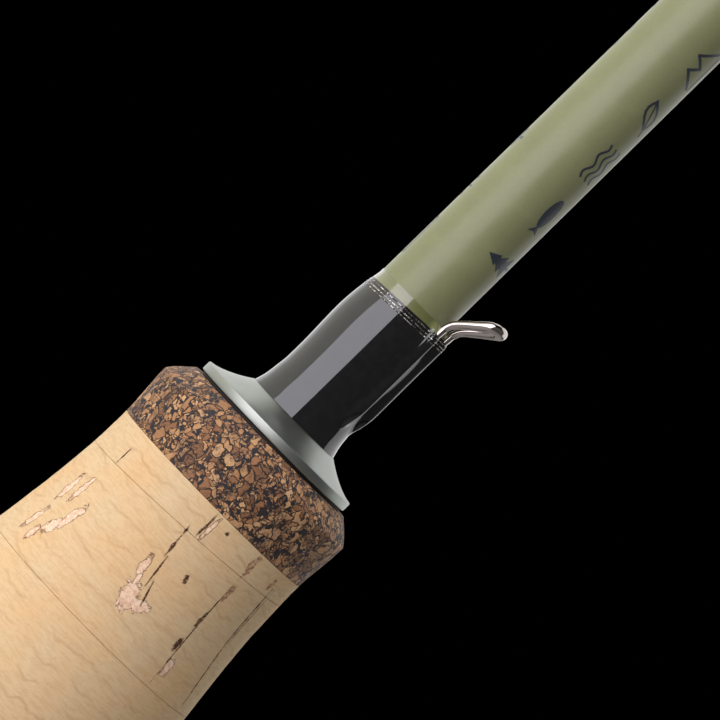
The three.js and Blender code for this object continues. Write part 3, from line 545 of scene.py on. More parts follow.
def rod_places() -> bpy.types.NodeTree:
    """Builds the group that gives places on the rod: in millimetres, along it and round it."""
    graph, _, out = new_group("rod places", {}, {"Place": "Vector", "Around": "Float", "Along": "Float"})
    here = graph.node("ShaderNodeTexCoord").outputs["Object"]
    place = graph.vector("MULTIPLY", here, (1 / MM,) * 3)
    split = graph.node("ShaderNodeSeparateXYZ")
    graph.feed(split.inputs[0], place)
    x, y, z = split.outputs
    angle = graph.math("ARCTAN2", x, graph.times(y, -1.0))
    graph.feed(out.inputs["Place"], place)
    graph.feed(out.inputs["Around"], graph.minus(angle, math.radians(SHOW_SIDE)))
    graph.feed(out.inputs["Along"], z)
    return graph.tree


def turning_marks() -> bpy.types.NodeTree:
    """Builds the group that gives a lathe's fine marks round the Z axis of the place fed in."""
    graph, given, out = new_group(
        "turning marks", {"Place": "Vector", "Pitch": "Float"}, {"Height": "Float", "Uneven": "Float"}
    )
    split = graph.node("ShaderNodeSeparateXYZ")
    graph.feed(split.inputs[0], given.outputs["Place"])
    x, y, z = split.outputs
    flat = graph.combine(x, y, 0.0)
    length = graph.node("ShaderNodeVectorMath", operation="LENGTH")
    graph.feed(length.inputs[0], flat)
    across = graph.plus(graph.times(z, 0.83), length.outputs["Value"])
    lines = graph.combine(graph.math("DIVIDE", across, given.outputs["Pitch"]), graph.times(x, 0.02), 0.0)
    graph.feed(out.inputs["Height"], graph.noise(lines, 1.0, 3.0, 0.7))
    graph.feed(out.inputs["Uneven"], graph.noise(given.outputs["Place"], 0.35, 3.0, 0.55))
    return graph.tree


def handled() -> bpy.types.NodeTree:
    """Builds the group that gives the faint smears of a surface that gets handled."""
    graph, given, out = new_group("handled", {"Place": "Vector"}, {"Smear": "Float"})
    graph.feed(out.inputs["Smear"], graph.noise(given.outputs["Place"], 0.22, 4.0, 0.6, 0.6))
    return graph.tree


class Finishes:
    """Every finish on the rod and reel, each made once."""

    def __init__(self) -> None:
        """Builds the shared groups."""
        self.places = rod_places()
        self.marks = turning_marks()
        self.handled = handled()

    def start(self, name: str) -> tuple[Look, Graph, Node, Sequence[Socket]]:
        """Starts a material; returns it with its graph, its Principled BSDF and the places on the rod."""
        made = bpy.data.materials.new(name)
        made.use_nodes = True
        graph = Graph(made.node_tree)
        return made, graph, made.node_tree.nodes["Principled BSDF"], graph.group(self.places).outputs

    def metal(
        self, name: str, colour: Colour, rough: float, pitch: float = 0.09, marks: float = 0.004,
        centre: Sequence[float] = (0, 0, 0), lies_along_x: bool = False,
    ) -> Look:
        """Makes a turned metal.

        Args:
            name: The material's name.
            colour: Its display colour.
            rough: Its roughness.
            pitch: Distance between turning marks in millimetres.
            marks: Their depth in millimetres.
            centre: A place on the axis that it was turned round, in millimetres.
            lies_along_x: Whether that axis lies along X, as the reel's does, and not along Z.

        Returns:
            The material.
        """
        made, graph, shader, (place, *_) = self.start(name)
        turn = graph.node("ShaderNodeMapping", vector_type="TEXTURE")
        graph.feed(turn.inputs["Vector"], place)
        turn.inputs["Location"].default_value = centre
        turn.inputs["Rotation"].default_value = (0, math.pi / 2 if lies_along_x else 0, 0)
        lathe = graph.group(self.marks, Place=turn.outputs[0], Pitch=pitch)
        smear = graph.group(self.handled, Place=place).outputs["Smear"]
        base = tint(*colour)
        uneven = graph.mix(graph.band(lathe.outputs["Uneven"], 0.3, 0.75), base, shade(base, 0.94))
        shader.inputs["Metallic"].default_value = 1.0
        worn = graph.plus(graph.band(lathe.outputs["Height"], 0.3, 0.7, -0.04, 0.04), rough)
        smeared = graph.math("ADD", worn, graph.band(smear, 0.35, 0.7, -0.01, 0.015), clamp=True)
        graph.dress(shader, uneven, smeared, graph.bump(lathe.outputs["Height"], marks))
        return made

    def lacquer(self, name: str, colour: Colour, rough: float, coat: float = 0.0, ior: float = 1.5) -> Look:
        """Makes a painted blank's lacquer, with a little orange peel, smears and dust.

        Args:
            name: The material's name.
            colour: Its display colour.
            rough: Its roughness.
            coat: Weight of a clear gloss over it.
            ior: The lacquer's index of refraction.

        Returns:
            The material.
        """
        made, graph, shader, (place, *_) = self.start(name)
        smear = graph.group(self.handled, Place=place).outputs["Smear"]
        base = tint(*colour)
        cloudy = graph.mix(graph.band(smear, 0.3, 0.7), base, shade(base, 1.1))
        grainy = graph.band(graph.noise(place, 9.0, 2.0), 0.35, 0.65, 0.0, 0.08)
        shader.inputs["IOR"].default_value = ior
        shader.inputs["Coat Weight"].default_value = coat
        shader.inputs["Coat Roughness"].default_value = 0.03
        shader.inputs["Coat IOR"].default_value = 1.6
        peel = graph.noise(place, 2.6, 2.0)
        graph.dress(
            shader,
            graph.mix(grainy, cloudy, (0, 0, 0, 1)),
            graph.band(smear, 0.3, 0.7, rough - 0.03, rough + 0.04),
            graph.bump(peel, 0.004),
        )
        return made

    def cork(self) -> Look:
        """Makes natural cork: growth lines across the grip, pale filler, dark slits and small pits."""
        made, graph, shader, (place, around, along) = self.start("cork")
        drift = graph.noise(place, 0.16, 3.0, 0.55)
        wobble = graph.noise(graph.stretched(place, 0.3, 0.1), 1.0, 2.6, 0.45)
        bands = graph.plus(graph.times(along, 0.42), graph.times(wobble, 1.5))
        stripe = graph.math("PINGPONG", bands, 0.5)
        faint = graph.band(graph.noise(place, 0.35, 2.0), 0.34, 0.6)
        growth = graph.times(graph.band(stripe, 0.12, 0.0), faint)
        hair = graph.noise(graph.stretched(place, 0.7, 4.5), 1.0, 4.0, 0.65)
        speckle = graph.noise(place, 3.2, 3.0, 0.7)
        colour = graph.ramp(drift, [(0.34, tint(*CORK_WARM)), (0.62, tint(*CORK_PALE))])
        colour = graph.mix(graph.band(hair, 0.42, 0.62, 0.0, 0.24), colour, tint(*CORK_LINE))
        colour = graph.mix(graph.band(speckle, 0.56, 0.72, 0.0, 0.3), colour, tint(*CORK_LINE))
        colour = graph.mix(graph.times(growth, 0.36), colour, tint(*CORK_LINE))
        fray = graph.minus(graph.noise(place, 1.5, 5.0, 0.7), 0.5)
        girth = graph.times(around, GRIP_GIRTH)
        fillers, slits, stains = (
            [self.blot(graph, girth, along, flaw, graph.times(fray, ragged)) for flaw in flaws]
            for flaws, ragged in ((FILLERS, 2.6), (SLITS, 3.4), (STAINS, 3.0))
        )
        away = graph.band(graph.math("ABSOLUTE", around), 1.45, 1.75)
        elsewhere = graph.math("MAXIMUM", away, graph.band(along, 226.0, 220.0))
        wild = graph.times(graph.noise(graph.stretched(place, 0.34, 0.13), 1.0, 3.0, 0.55), elsewhere)
        filler = self.most(graph, [*fillers, graph.band(wild, 0.64, 0.68)])
        scar = graph.noise(graph.stretched(place, 0.9, 0.12), 1.0, 2.0, 0.5)
        scar = graph.times(graph.band(scar, 0.71, 0.74), elsewhere)
        slit = self.most(graph, [*slits, scar])
        rim = graph.times(filler, graph.minus(1.0, filler))
        rim = graph.math("MULTIPLY", rim, 4.0, clamp=True)
        lumps = graph.noise(place, 2.4, 3.0, 0.7)
        chalk = graph.ramp(lumps, [(0.35, tint(*FILLER_WARM)), (0.6, tint(*FILLER_PALE))])
        colour = graph.mix(graph.band(filler, 0.35, 0.65), colour, chalk)
        colour = graph.mix(graph.times(rim, graph.band(speckle, 0.35, 0.6)), colour, tint(*CORK_SCAR))
        stained = graph.times(self.most(graph, stains), graph.band(speckle, 0.62, 0.4, 0.15, 0.8))
        colour = graph.mix(stained, colour, tint(*CHIP_STAIN))
        broken = graph.times(slit, graph.band(speckle, 0.3, 0.5, 0.25, 1.0))
        colour = graph.mix(broken, colour, tint(*CORK_DARK))
        shader.inputs["IOR"].default_value = 1.3
        relief = graph.minus(graph.times(speckle, 0.35), graph.times(slit, 1.2))
        relief = graph.minus(relief, graph.times(rim, 0.8))
        relief = graph.minus(relief, graph.times(growth, 0.15))
        graph.dress(shader, colour, graph.band(speckle, 0.3, 0.7, 0.62, 0.8), graph.bump(relief, 0.09))
        return made

    @staticmethod
    def most(graph: Graph, masks: Sequence[Socket]) -> Socket:
        """Returns the highest of several masks."""
        highest = masks[0]
        for mask in masks[1:]:
            highest = graph.math("MAXIMUM", highest, mask)
        return highest

    @staticmethod
    def blot(graph: Graph, girth: Socket, along: Socket, flaw: "Flaw", fray: Socket) -> Socket:
        """Returns the mask of one ragged, slanted oval on the grip."""
        over = graph.minus(along, flaw.along)
        side = graph.minus(girth, flaw.around)
        side = graph.minus(side, graph.times(over, flaw.slant))
        far = graph.math("POWER", graph.math("DIVIDE", over, flaw.length / 2), 2.0)
        wide = graph.math("POWER", graph.math("DIVIDE", side, flaw.width / 2), 2.0)
        reach = graph.math("SQRT", graph.plus(far, wide))
        ragged = graph.plus(reach, fray)
        soft = min(0.5, 0.1 / flaw.width)
        return graph.band(ragged, 1.0 + soft, 1.0 - soft)

    def burl(self) -> Look:
        """Makes pressed granule cork: tan chips with dark outlines in a slate binder."""
        made, graph, shader, (place, *_) = self.start("burl cork")
        bent = graph.node("ShaderNodeTexNoise", noise_dimensions="3D")
        graph.feed(bent.inputs["Vector"], place)
        bent.inputs["Scale"].default_value = 0.85
        bent.inputs["Detail"].default_value = 2.0
        pushed = graph.vector("SUBTRACT", bent.outputs["Color"], (0.5, 0.5, 0.5))
        spot = graph.vector("ADD", place, graph.vector("MULTIPLY", pushed, (1.5, 1.5, 1.5)))
        masks = []
        for scale, keep, gap in ((0.95, 0.36, 0.09), (1.75, 0.5, 0.1), (3.4, 0.5, 0.12)):
            chip = graph.cells(spot, scale)
            edge = graph.cells(spot, scale, "DISTANCE_TO_EDGE")
            rgb = graph.node("ShaderNodeSeparateColor")
            graph.feed(rgb.inputs[0], chip.outputs["Color"])
            inside = graph.band(edge.outputs["Distance"], gap * 0.45, gap)
            kept = graph.band(rgb.outputs[0], keep + 0.01, keep - 0.01)
            masks.append((inside, kept, rgb.outputs[1]))
        grain = graph.noise(place, 3.4, 4.0, 0.7)
        chips = (CHIP_DARK, CHIP_BROWN, CHIP_TAN, CHIP_PALE)
        stops = [(at, tint(*chip)) for at, chip in zip((0.0, 0.3, 0.62, 1.0), chips)]
        colour: Value = tint(*BURL_BINDER)
        height: Value = 0.0
        for inside, kept, shade in reversed(masks):
            mottled = graph.plus(graph.times(shade, 0.75), graph.times(grain, 0.3))
            chip_colour = graph.ramp(mottled, stops)
            outlined = graph.mix(inside, tint(*BURL_OUTLINE), chip_colour)
            colour = graph.mix(kept, colour, outlined)
            height = graph.plus(graph.times(height, 0.5), graph.times(inside, kept))
        dusk = graph.band(graph.noise(place, 0.45, 3.0, 0.6), 0.46, 0.62, 0.0, 0.75)
        patch = graph.times(dusk, graph.band(grain, 0.4, 0.58))
        colour = graph.mix(patch, colour, tint(*BURL_BINDER))
        shader.inputs["IOR"].default_value = 1.42
        relief = graph.plus(height, graph.times(grain, 0.8))
        graph.dress(shader, colour, graph.band(grain, 0.3, 0.7, 0.55, 0.8), graph.bump(relief, 0.07))
        return made

    def thread(self, name: str, colour: Colour, pitch: float = 0.16) -> Look:
        """Makes fine thread laid turn by turn and flooded with clear varnish.

        Args:
            name: The material's name.
            colour: The thread's display colour.
            pitch: Distance between turns in millimetres.

        Returns:
            The material.
        """
        made, graph, shader, (place, _, along) = self.start(name)
        turns = graph.math("PINGPONG", graph.math("DIVIDE", along, pitch), 0.5)
        lint = graph.noise(place, 1.6, 3.0, 0.65)
        base = tint(*colour)
        lit = graph.times(graph.band(turns, 0.1, 0.5), graph.band(lint, 0.35, 0.7))
        shader.inputs["IOR"].default_value = 1.68
        pools = graph.noise(graph.stretched(place, 0.25, 0.12), 1.0, 1.0)
        ripple = graph.plus(pools, graph.times(turns, 0.02))
        graph.dress(
            shader,
            graph.mix(lit, base, shade(base, 2.2, 0.006)),
            graph.band(lint, 0.3, 0.7, 0.015, 0.05),
            graph.bump(ripple, 0.03),
        )
        return made

    def silver_thread(self) -> Look:
        """Makes the metallic trim thread, whose twisted foil glints in short lengths."""
        made, graph, shader, (place, *_) = self.start("silver trim thread")
        foil = graph.cells(place, 5.2)
        rgb = graph.node("ShaderNodeSeparateColor")
        graph.feed(rgb.inputs[0], foil.outputs["Color"])
        glint = graph.ramp(rgb.outputs[0], [(0.35, tint(70, 65, 60)), (0.9, tint(244, 240, 232))])
        shader.inputs["Metallic"].default_value = 1.0
        graph.dress(
            shader,
            glint,
            graph.band(rgb.outputs[1], 0.2, 0.8, 0.08, 0.3),
            graph.bump(graph.noise(place, 5.0, 3.0), 0.1),
        )
        return made

    def wood(self, name: str) -> Look:
        """Makes oiled walnut with its grain along the rod."""
        made, graph, shader, (place, *_) = self.start(name)
        long_grain = graph.stretched(place, 0.5, 0.035)
        rings = graph.noise(long_grain, 1.0, 4.0, 0.6, 1.2)
        pores = graph.noise(graph.stretched(place, 6.0, 0.35), 1.0, 2.0, 0.6)
        browns = [(0.3, tint(54, 30, 16)), (0.5, tint(112, 70, 38)), (0.7, tint(74, 42, 22))]
        figure = graph.ramp(rings, browns)
        colour = graph.mix(graph.band(pores, 0.6, 0.68, 0.0, 0.75), figure, tint(30, 16, 9))
        shader.inputs["Coat Weight"].default_value = 0.5
        shader.inputs["Coat Roughness"].default_value = 0.14
        graph.dress(shader, colour, graph.band(pores, 0.4, 0.7, 0.3, 0.5), graph.bump(pores, -0.03))
        return made

    def matte(self, name: str, colour: Colour, rough: float, grain: float, spread: float = 1.6) -> Look:
        """Makes a dull material, such as rubber or a fibre disc.

        Args:
            name: The material's name.
            colour: Its display colour.
            rough: Its roughness.
            grain: Grain size in millimetres.
            spread: How much lighter its lightest grains are.

        Returns:
            The material.
        """
        made, graph, shader, (place, *_) = self.start(name)
        fine = graph.noise(place, 1 / grain, 3.0, 0.6)
        base = tint(*colour)
        colour = graph.mix(graph.band(fine, 0.4, 0.7), base, shade(base, spread))
        graph.dress(
            shader,
            colour,
            graph.band(fine, 0.3, 0.7, rough - 0.08, rough + 0.08),
            graph.bump(fine, min(0.04, grain * 0.12)),
        )
        return made


@dataclass(frozen=True)
class Flaw:
    """One oval flaw in the cork: places and sizes in millimetres, around counted from the show side."""

    along: float
    around: float
    length: float
    width: float
    slant: float = 0.0


CORK_PALE = (216, 188, 146)
CORK_WARM = (219, 182, 134)
CORK_LINE = (182, 140, 98)
CORK_SCAR = (138, 90, 56)
CORK_DARK = (82, 50, 34)
FILLER_PALE = (240, 208, 178)
FILLER_WARM = (216, 172, 138)
CHIP_STAIN = (128, 70, 48)
CHIP_DARK = (104, 70, 46)
CHIP_BROWN = (142, 98, 64)
CHIP_TAN = (182, 134, 90)
CHIP_PALE = (212, 170, 124)
BURL_OUTLINE = (54, 39, 30)
BURL_BINDER = (40, 38, 42)
BLANK_COLOUR = (125, 127, 90)
VARNISHED_COLOUR = (104, 107, 62)
CHECK_COLOUR = (158, 161, 154)
GRIP_GIRTH = 12.0  # the front of the grip's radius, which turns angles into millimetres for the flaws
FILLERS = (
    Flaw(243.7, -12.0, 3.6, 0.75),
    Flaw(244.5, -10.4, 3.0, 0.7),
    Flaw(240.2, -9.2, 2.2, 1.1, 0.25),
    Flaw(242.0, -8.5, 3.3, 0.9, 0.12),
    Flaw(239.5, -11.7, 2.8, 0.8, 0.1),
    Flaw(238.4, -10.2, 1.9, 0.7),
    Flaw(240.9, 1.0, 3.1, 1.7, -0.22),
    Flaw(240.9, 2.5, 1.5, 1.4, 0.4),
    Flaw(243.9, 0.0, 2.3, 0.75, -0.1),
    Flaw(242.5, 0.45, 1.6, 0.45, -0.1),
    Flaw(250.6, 1.95, 2.4, 0.42, 0.05),
    Flaw(238.6, 8.6, 1.8, 0.8),
)
SLITS = (
    Flaw(249.4, -10.0, 1.8, 0.16),
    Flaw(242.4, 2.0, 2.1, 0.16, -0.3),
    Flaw(244.3, 1.2, 2.6, 0.16, -0.14),
    Flaw(247.1, 0.6, 2.1, 0.26, -0.1),
    Flaw(248.9, 0.42, 0.8, 0.24, -0.05),
    Flaw(250.6, 1.5, 2.4, 0.24, 0.02),
    Flaw(245.7, 3.75, 0.7, 0.55),
    Flaw(251.4, 3.5, 0.4, 0.45),
    Flaw(240.7, 7.7, 1.3, 0.6),
    Flaw(243.8, 7.85, 2.0, 0.35),
    Flaw(243.5, 8.0, 11.3, 0.13, -0.03),
    Flaw(240.7, 13.4, 6.6, 0.2, -0.16),
    Flaw(246.6, 12.7, 6.9, 0.22, -0.08),
    Flaw(246.6, 13.1, 6.6, 0.12, -0.06),
)
STAINS = (
    Flaw(250.8, 7.8, 2.6, 0.8),
    Flaw(250.9, 11.7, 1.6, 0.6),
    Flaw(247.6, 8.1, 2.6, 0.5),
)


# ---------- the rod's sections ----------
@dataclass(frozen=True)
class Blank:
    """The hollow blank in its three sections, each sleeved over the one below."""

    check: float = 260.25  # height of the winding check's foot
    radius: float = 4.26  # at the check
    taper: float = 0.00234
    wall: float = 0.75
    foot: float = 6.0
    ferrules: tuple[float, float] = (559.0, 1117.0)
    overlap: float = 38.0
    sleeve: float = 0.62
    play: float = 0.15
    wrap_length: float = 22.0
    tip_radius: float = 0.75
    tip_end: float = 1674.3
    solid_from: float = 260.0

    def butt(self, z: float) -> float:
        """Returns the butt section's outside radius at a height."""
        return self.radius - self.taper * (z - self.check)

    @property
    def butt_end(self) -> float:
        """Returns where the butt section ends, inside the middle one."""
        return self.ferrules[0] + self.overlap

    @property
    def middle_end(self) -> float:
        """Returns where the middle section ends, inside the tip one."""
        return self.ferrules[1] + self.overlap

    def middle(self, z: float) -> float:
        """Returns the middle section's outside radius at a height."""
        foot = self.butt(self.ferrules[0]) + self.play
        top = 0.58 * foot
        share = (z - self.ferrules[0]) / (self.middle_end - self.ferrules[0])
        return foot + self.sleeve - (foot + self.sleeve - top) * share

    def tip(self, z: float) -> float:
        """Returns the tip section's outside radius at a height."""
        foot = self.middle(self.ferrules[1]) + self.play
        share = (z - self.ferrules[1]) / (self.tip_end - self.ferrules[1])
        return foot + self.sleeve - (foot + self.sleeve - self.tip_radius) * share

    def outside(self, z: float) -> float:
        """Returns the radius of whichever section shows at a height."""
        if z < self.ferrules[0]:
            return self.butt(z)
        return self.middle(z) if z < self.ferrules[1] else self.tip(z)

    def tube(self, outer: Radius, start: float, end: float, bore: Profile) -> BMesh:
        """Turns one section: its outside from foot to end, then its bore back down."""
        steps = 24
        heights = [start + (end - start) * i / steps for i in range(steps + 1)]
        edge = 0.12
        wall = [(outer(start) - edge, start), (outer(start), start + edge)]
        wall += [(outer(z), z) for z in heights[1:-1]]
        wall += [(outer(end), end - edge), (outer(end) - edge, end)]
        return revolve([*wall, *bore], sides=128)

    def build(self, finishes: Finishes) -> None:
        """Builds the three sections and the wraps on their ferrules."""
        paint = finishes.lacquer("olive lacquer", BLANK_COLOUR, 0.36, ior=1.46)
        black = finishes.thread("black ferrule thread", (14, 14, 15))
        first, second = self.ferrules
        bore = [(self.butt(z) - self.wall, z) for z in (self.butt_end, self.foot)]
        tube = self.tube(self.butt, self.foot, self.butt_end, bore)
        publish(tube, "butt_tube", paint, Body.BUTT, Slot.BLANK, "butt_blank")
        seat = self.butt(self.butt_end) + self.play
        bore = [
            (self.middle(self.middle_end) - self.wall + 0.1, self.middle_end),
            (seat - self.play, self.butt_end + 4),
            (seat, self.butt_end + 1),
            (self.butt(first) + self.play, first),
        ]
        tube = self.tube(self.middle, first, self.middle_end, bore)
        publish(tube, "middle_tube", paint, Body.MIDDLE, Slot.BLANK, "mid_blank")
        seat = self.middle(self.middle_end) + self.play
        core = second + self.solid_from
        bore = [
            (0.0, self.tip_end),
            (0.0, core),
            (max(self.tip(core) - self.wall, 0.3), core),
            (seat - self.play, self.middle_end + 4),
            (seat, self.middle_end + 1),
            (self.middle(second) + self.play, second),
        ]
        tube = self.tube(self.tip, second, self.tip_end, bore)
        publish(tube, "tip_tube", paint, Body.TIP, Slot.BLANK, "tip_blank")
        for name, start, outer, body, node in (
            ("middle_sleeve_wrap", first + 1, self.middle, Body.MIDDLE, "mid_ferrule_wrap"),
            ("tip_sleeve_wrap", second + 1, self.tip, Body.TIP, "tip_ferrule_wrap"),
        ):
            wrap = thread_band(outer, start, start + self.wrap_length, 0.4)
            publish(wrap, name, black, body, Slot.WRAP, node)


def thread_band(outer: Radius, start: float, end: float, wall: float, feather: float = 1.2) -> BMesh:
    """Turns a varnished band of thread round the blank.

    Args:
        outer: The blank's radius at a height.
        start: Where the band starts.
        end: Where it ends.
        wall: Its thickness.
        feather: Length over which the varnish runs out at each end.

    Returns:
        The band's mesh.
    """
    steps = 30
    gap = 0.02
    rows = []
    for i in range(steps + 1):
        z = start + (end - start) * (1 - math.cos(math.pi * i / steps)) / 2
        rise = min(1.0, (z - start) / feather, (end - z) / feather)
        rows.append((outer(z) + gap + wall * math.sin(rise * math.pi / 2) ** 0.8, z))
    return revolve([*rows, (outer(end) + gap / 2, end), (outer(start) + gap / 2, start)], sides=96)


# ---------- grip ----------
@dataclass(frozen=True)
class Grip:
    """Eleven natural cork rings, a thin one and two burl rings, turned to a full wells outline."""

    start: float = 103.15
    end: float = 259.95
    rings: int = 11
    ring_length: float = 12.5
    burl_length: float = 7.9
    thin_length: float = 3.5
    seam: float = 0.025
    stations: tuple[tuple[float, float], ...] = (
        (105.25, 12.9),
        (129.15, 12.3),
        (205.25, 14.3),
        (221.25, 14.3),
        (251.85, 11.69),
        (257.85, 12.03),
    )
    chamfer: float = 2.1
    front_face: float = 9.95
    rear_face: float = 10.9
    seam_slant: float = 0.064  # how much the thin ring's rear face leans, seen from the show side
    seam_shift: float = 0.42
    burl_shift: float = 0.3  # how much further forward the front burl starts
    sides: int = 288
    row: float = 0.42

    def radius(self, z: float) -> float:
        """Returns the grip's outside radius at a height."""
        spans = list(zip(self.stations, self.stations[1:]))
        (low, r_low), (high, r_high) = next((span for span in spans if z <= span[1][0]), spans[-1])
        share = min(1.0, max(0.0, (z - low) / (high - low)))
        return r_low + (r_high - r_low) * (1 - math.cos(math.pi * share)) / 2

    def outline(self, low: float, high: float) -> list[tuple[float, float]]:
        """Returns the outside between two heights, with edges sanded very slightly round."""
        ease = 0.035
        count = max(2, round((high - low) / self.row))
        heights = [low + (high - low) * i / count for i in range(1, count)]
        rows = [(self.radius(low) - ease, low), (self.radius(low), low + ease)]
        rows += [(self.radius(z), z) for z in heights]
        return [*rows, (self.radius(high), high - ease), (self.radius(high) - ease, high)]

    def ring(self, blank: Blank, low: float, high: float) -> BMesh:
        """Turns one ring between two heights and gives its outside the faint unevenness of sanded cork."""
        bore = blank.butt(low) + 0.05
        bm = revolve([*self.outline(low, high), (bore, high), (bore, low)], sides=self.sides)
        self.uneven(bm, bore)
        return bm

    @staticmethod
    def uneven(bm: BMesh, bore: float) -> None:
        """Moves the outside in and out by a few hundredths of a millimetre."""
        for vert in bm.verts:
            flat = Vector((vert.co.x, vert.co.y, 0))
            if flat.length < (bore + 1.0) * MM:
                continue
            at = vert.co / MM
            broad, fine = noise.noise(at * 0.8), noise.noise(at * 2.3)
            depth = 0.022 * broad + 0.012 * fine
            vert.co += flat.normalized() * depth * MM

    def lean(self, bm: BMesh, height: float) -> BMesh:
        """Leans the face at a height, as the thin ring's rear seam does."""
        side = math.radians(SHOW_SIDE + 90)
        across = Vector((math.sin(side), -math.cos(side), 0))
        for vert in bm.verts:
            near = max(0.0, 1.0 - abs(vert.co.z / MM - height) / 2.6)
            shift = self.seam_shift + self.seam_slant * vert.co.dot(across) / MM
            vert.co.z += near * shift * MM
        return bm

    def build(self, finishes: Finishes, blank: Blank) -> None:
        """Builds the rings from the seat to the front."""
        cork = finishes.cork()
        burl = finishes.burl()
        cork_start = self.start + self.burl_length
        bore = blank.butt(self.start) + 0.05
        foot = self.start + self.chamfer
        rear_edge = self.stations[0][1]
        rear = revolve(
            [
                (self.rear_face, self.start), (self.rear_face + 0.35, self.start + 0.25),
                (rear_edge - 0.12, foot - 0.12), *self.outline(foot, cork_start - self.seam),
                (bore, cork_start - self.seam), (bore, self.start),
            ],
            sides=192,
        )
        self.uneven(rear, bore)
        publish(rear, "rear_burl", burl, Body.BUTT, Slot.BURL, "grip_rear_burl")
        thin_start = cork_start + self.rings * self.ring_length
        for number in range(1, self.rings + 1):
            low = cork_start + (number - 1) * self.ring_length
            ring = self.ring(blank, low, low + self.ring_length - self.seam)
            if number == self.rings:
                self.lean(ring, thin_start)
            publish(ring, f"cork_{number:02d}", cork, Body.BUTT, Slot.CORK, f"cork_ring_{number:02d}")
        burl_start = thin_start + self.thin_length + self.burl_shift
        thin = self.lean(self.ring(blank, thin_start, burl_start - self.seam), thin_start)
        publish(thin, "cork_thin", cork, Body.BUTT, Slot.CORK, "cork_ring_thin")
        lip = self.end - self.chamfer
        bore = blank.butt(burl_start) + 0.05
        edge = self.stations[-1][1]
        steps = 8
        slope = [
            (edge - (edge - self.front_face) * (i / steps) ** 1.15, lip + self.chamfer * i / steps)
            for i in range(1, steps)
        ]
        front = revolve(
            [
                *self.outline(burl_start, lip)[:-1], *slope, (self.front_face + 0.08, self.end - 0.06),
                (self.front_face, self.end), (bore, self.end), (bore, burl_start),
            ],
            sides=self.sides,
        )
        self.uneven(front, bore)
        publish(front, "front_burl", burl, Body.BUTT, Slot.BURL, "grip_front_burl")


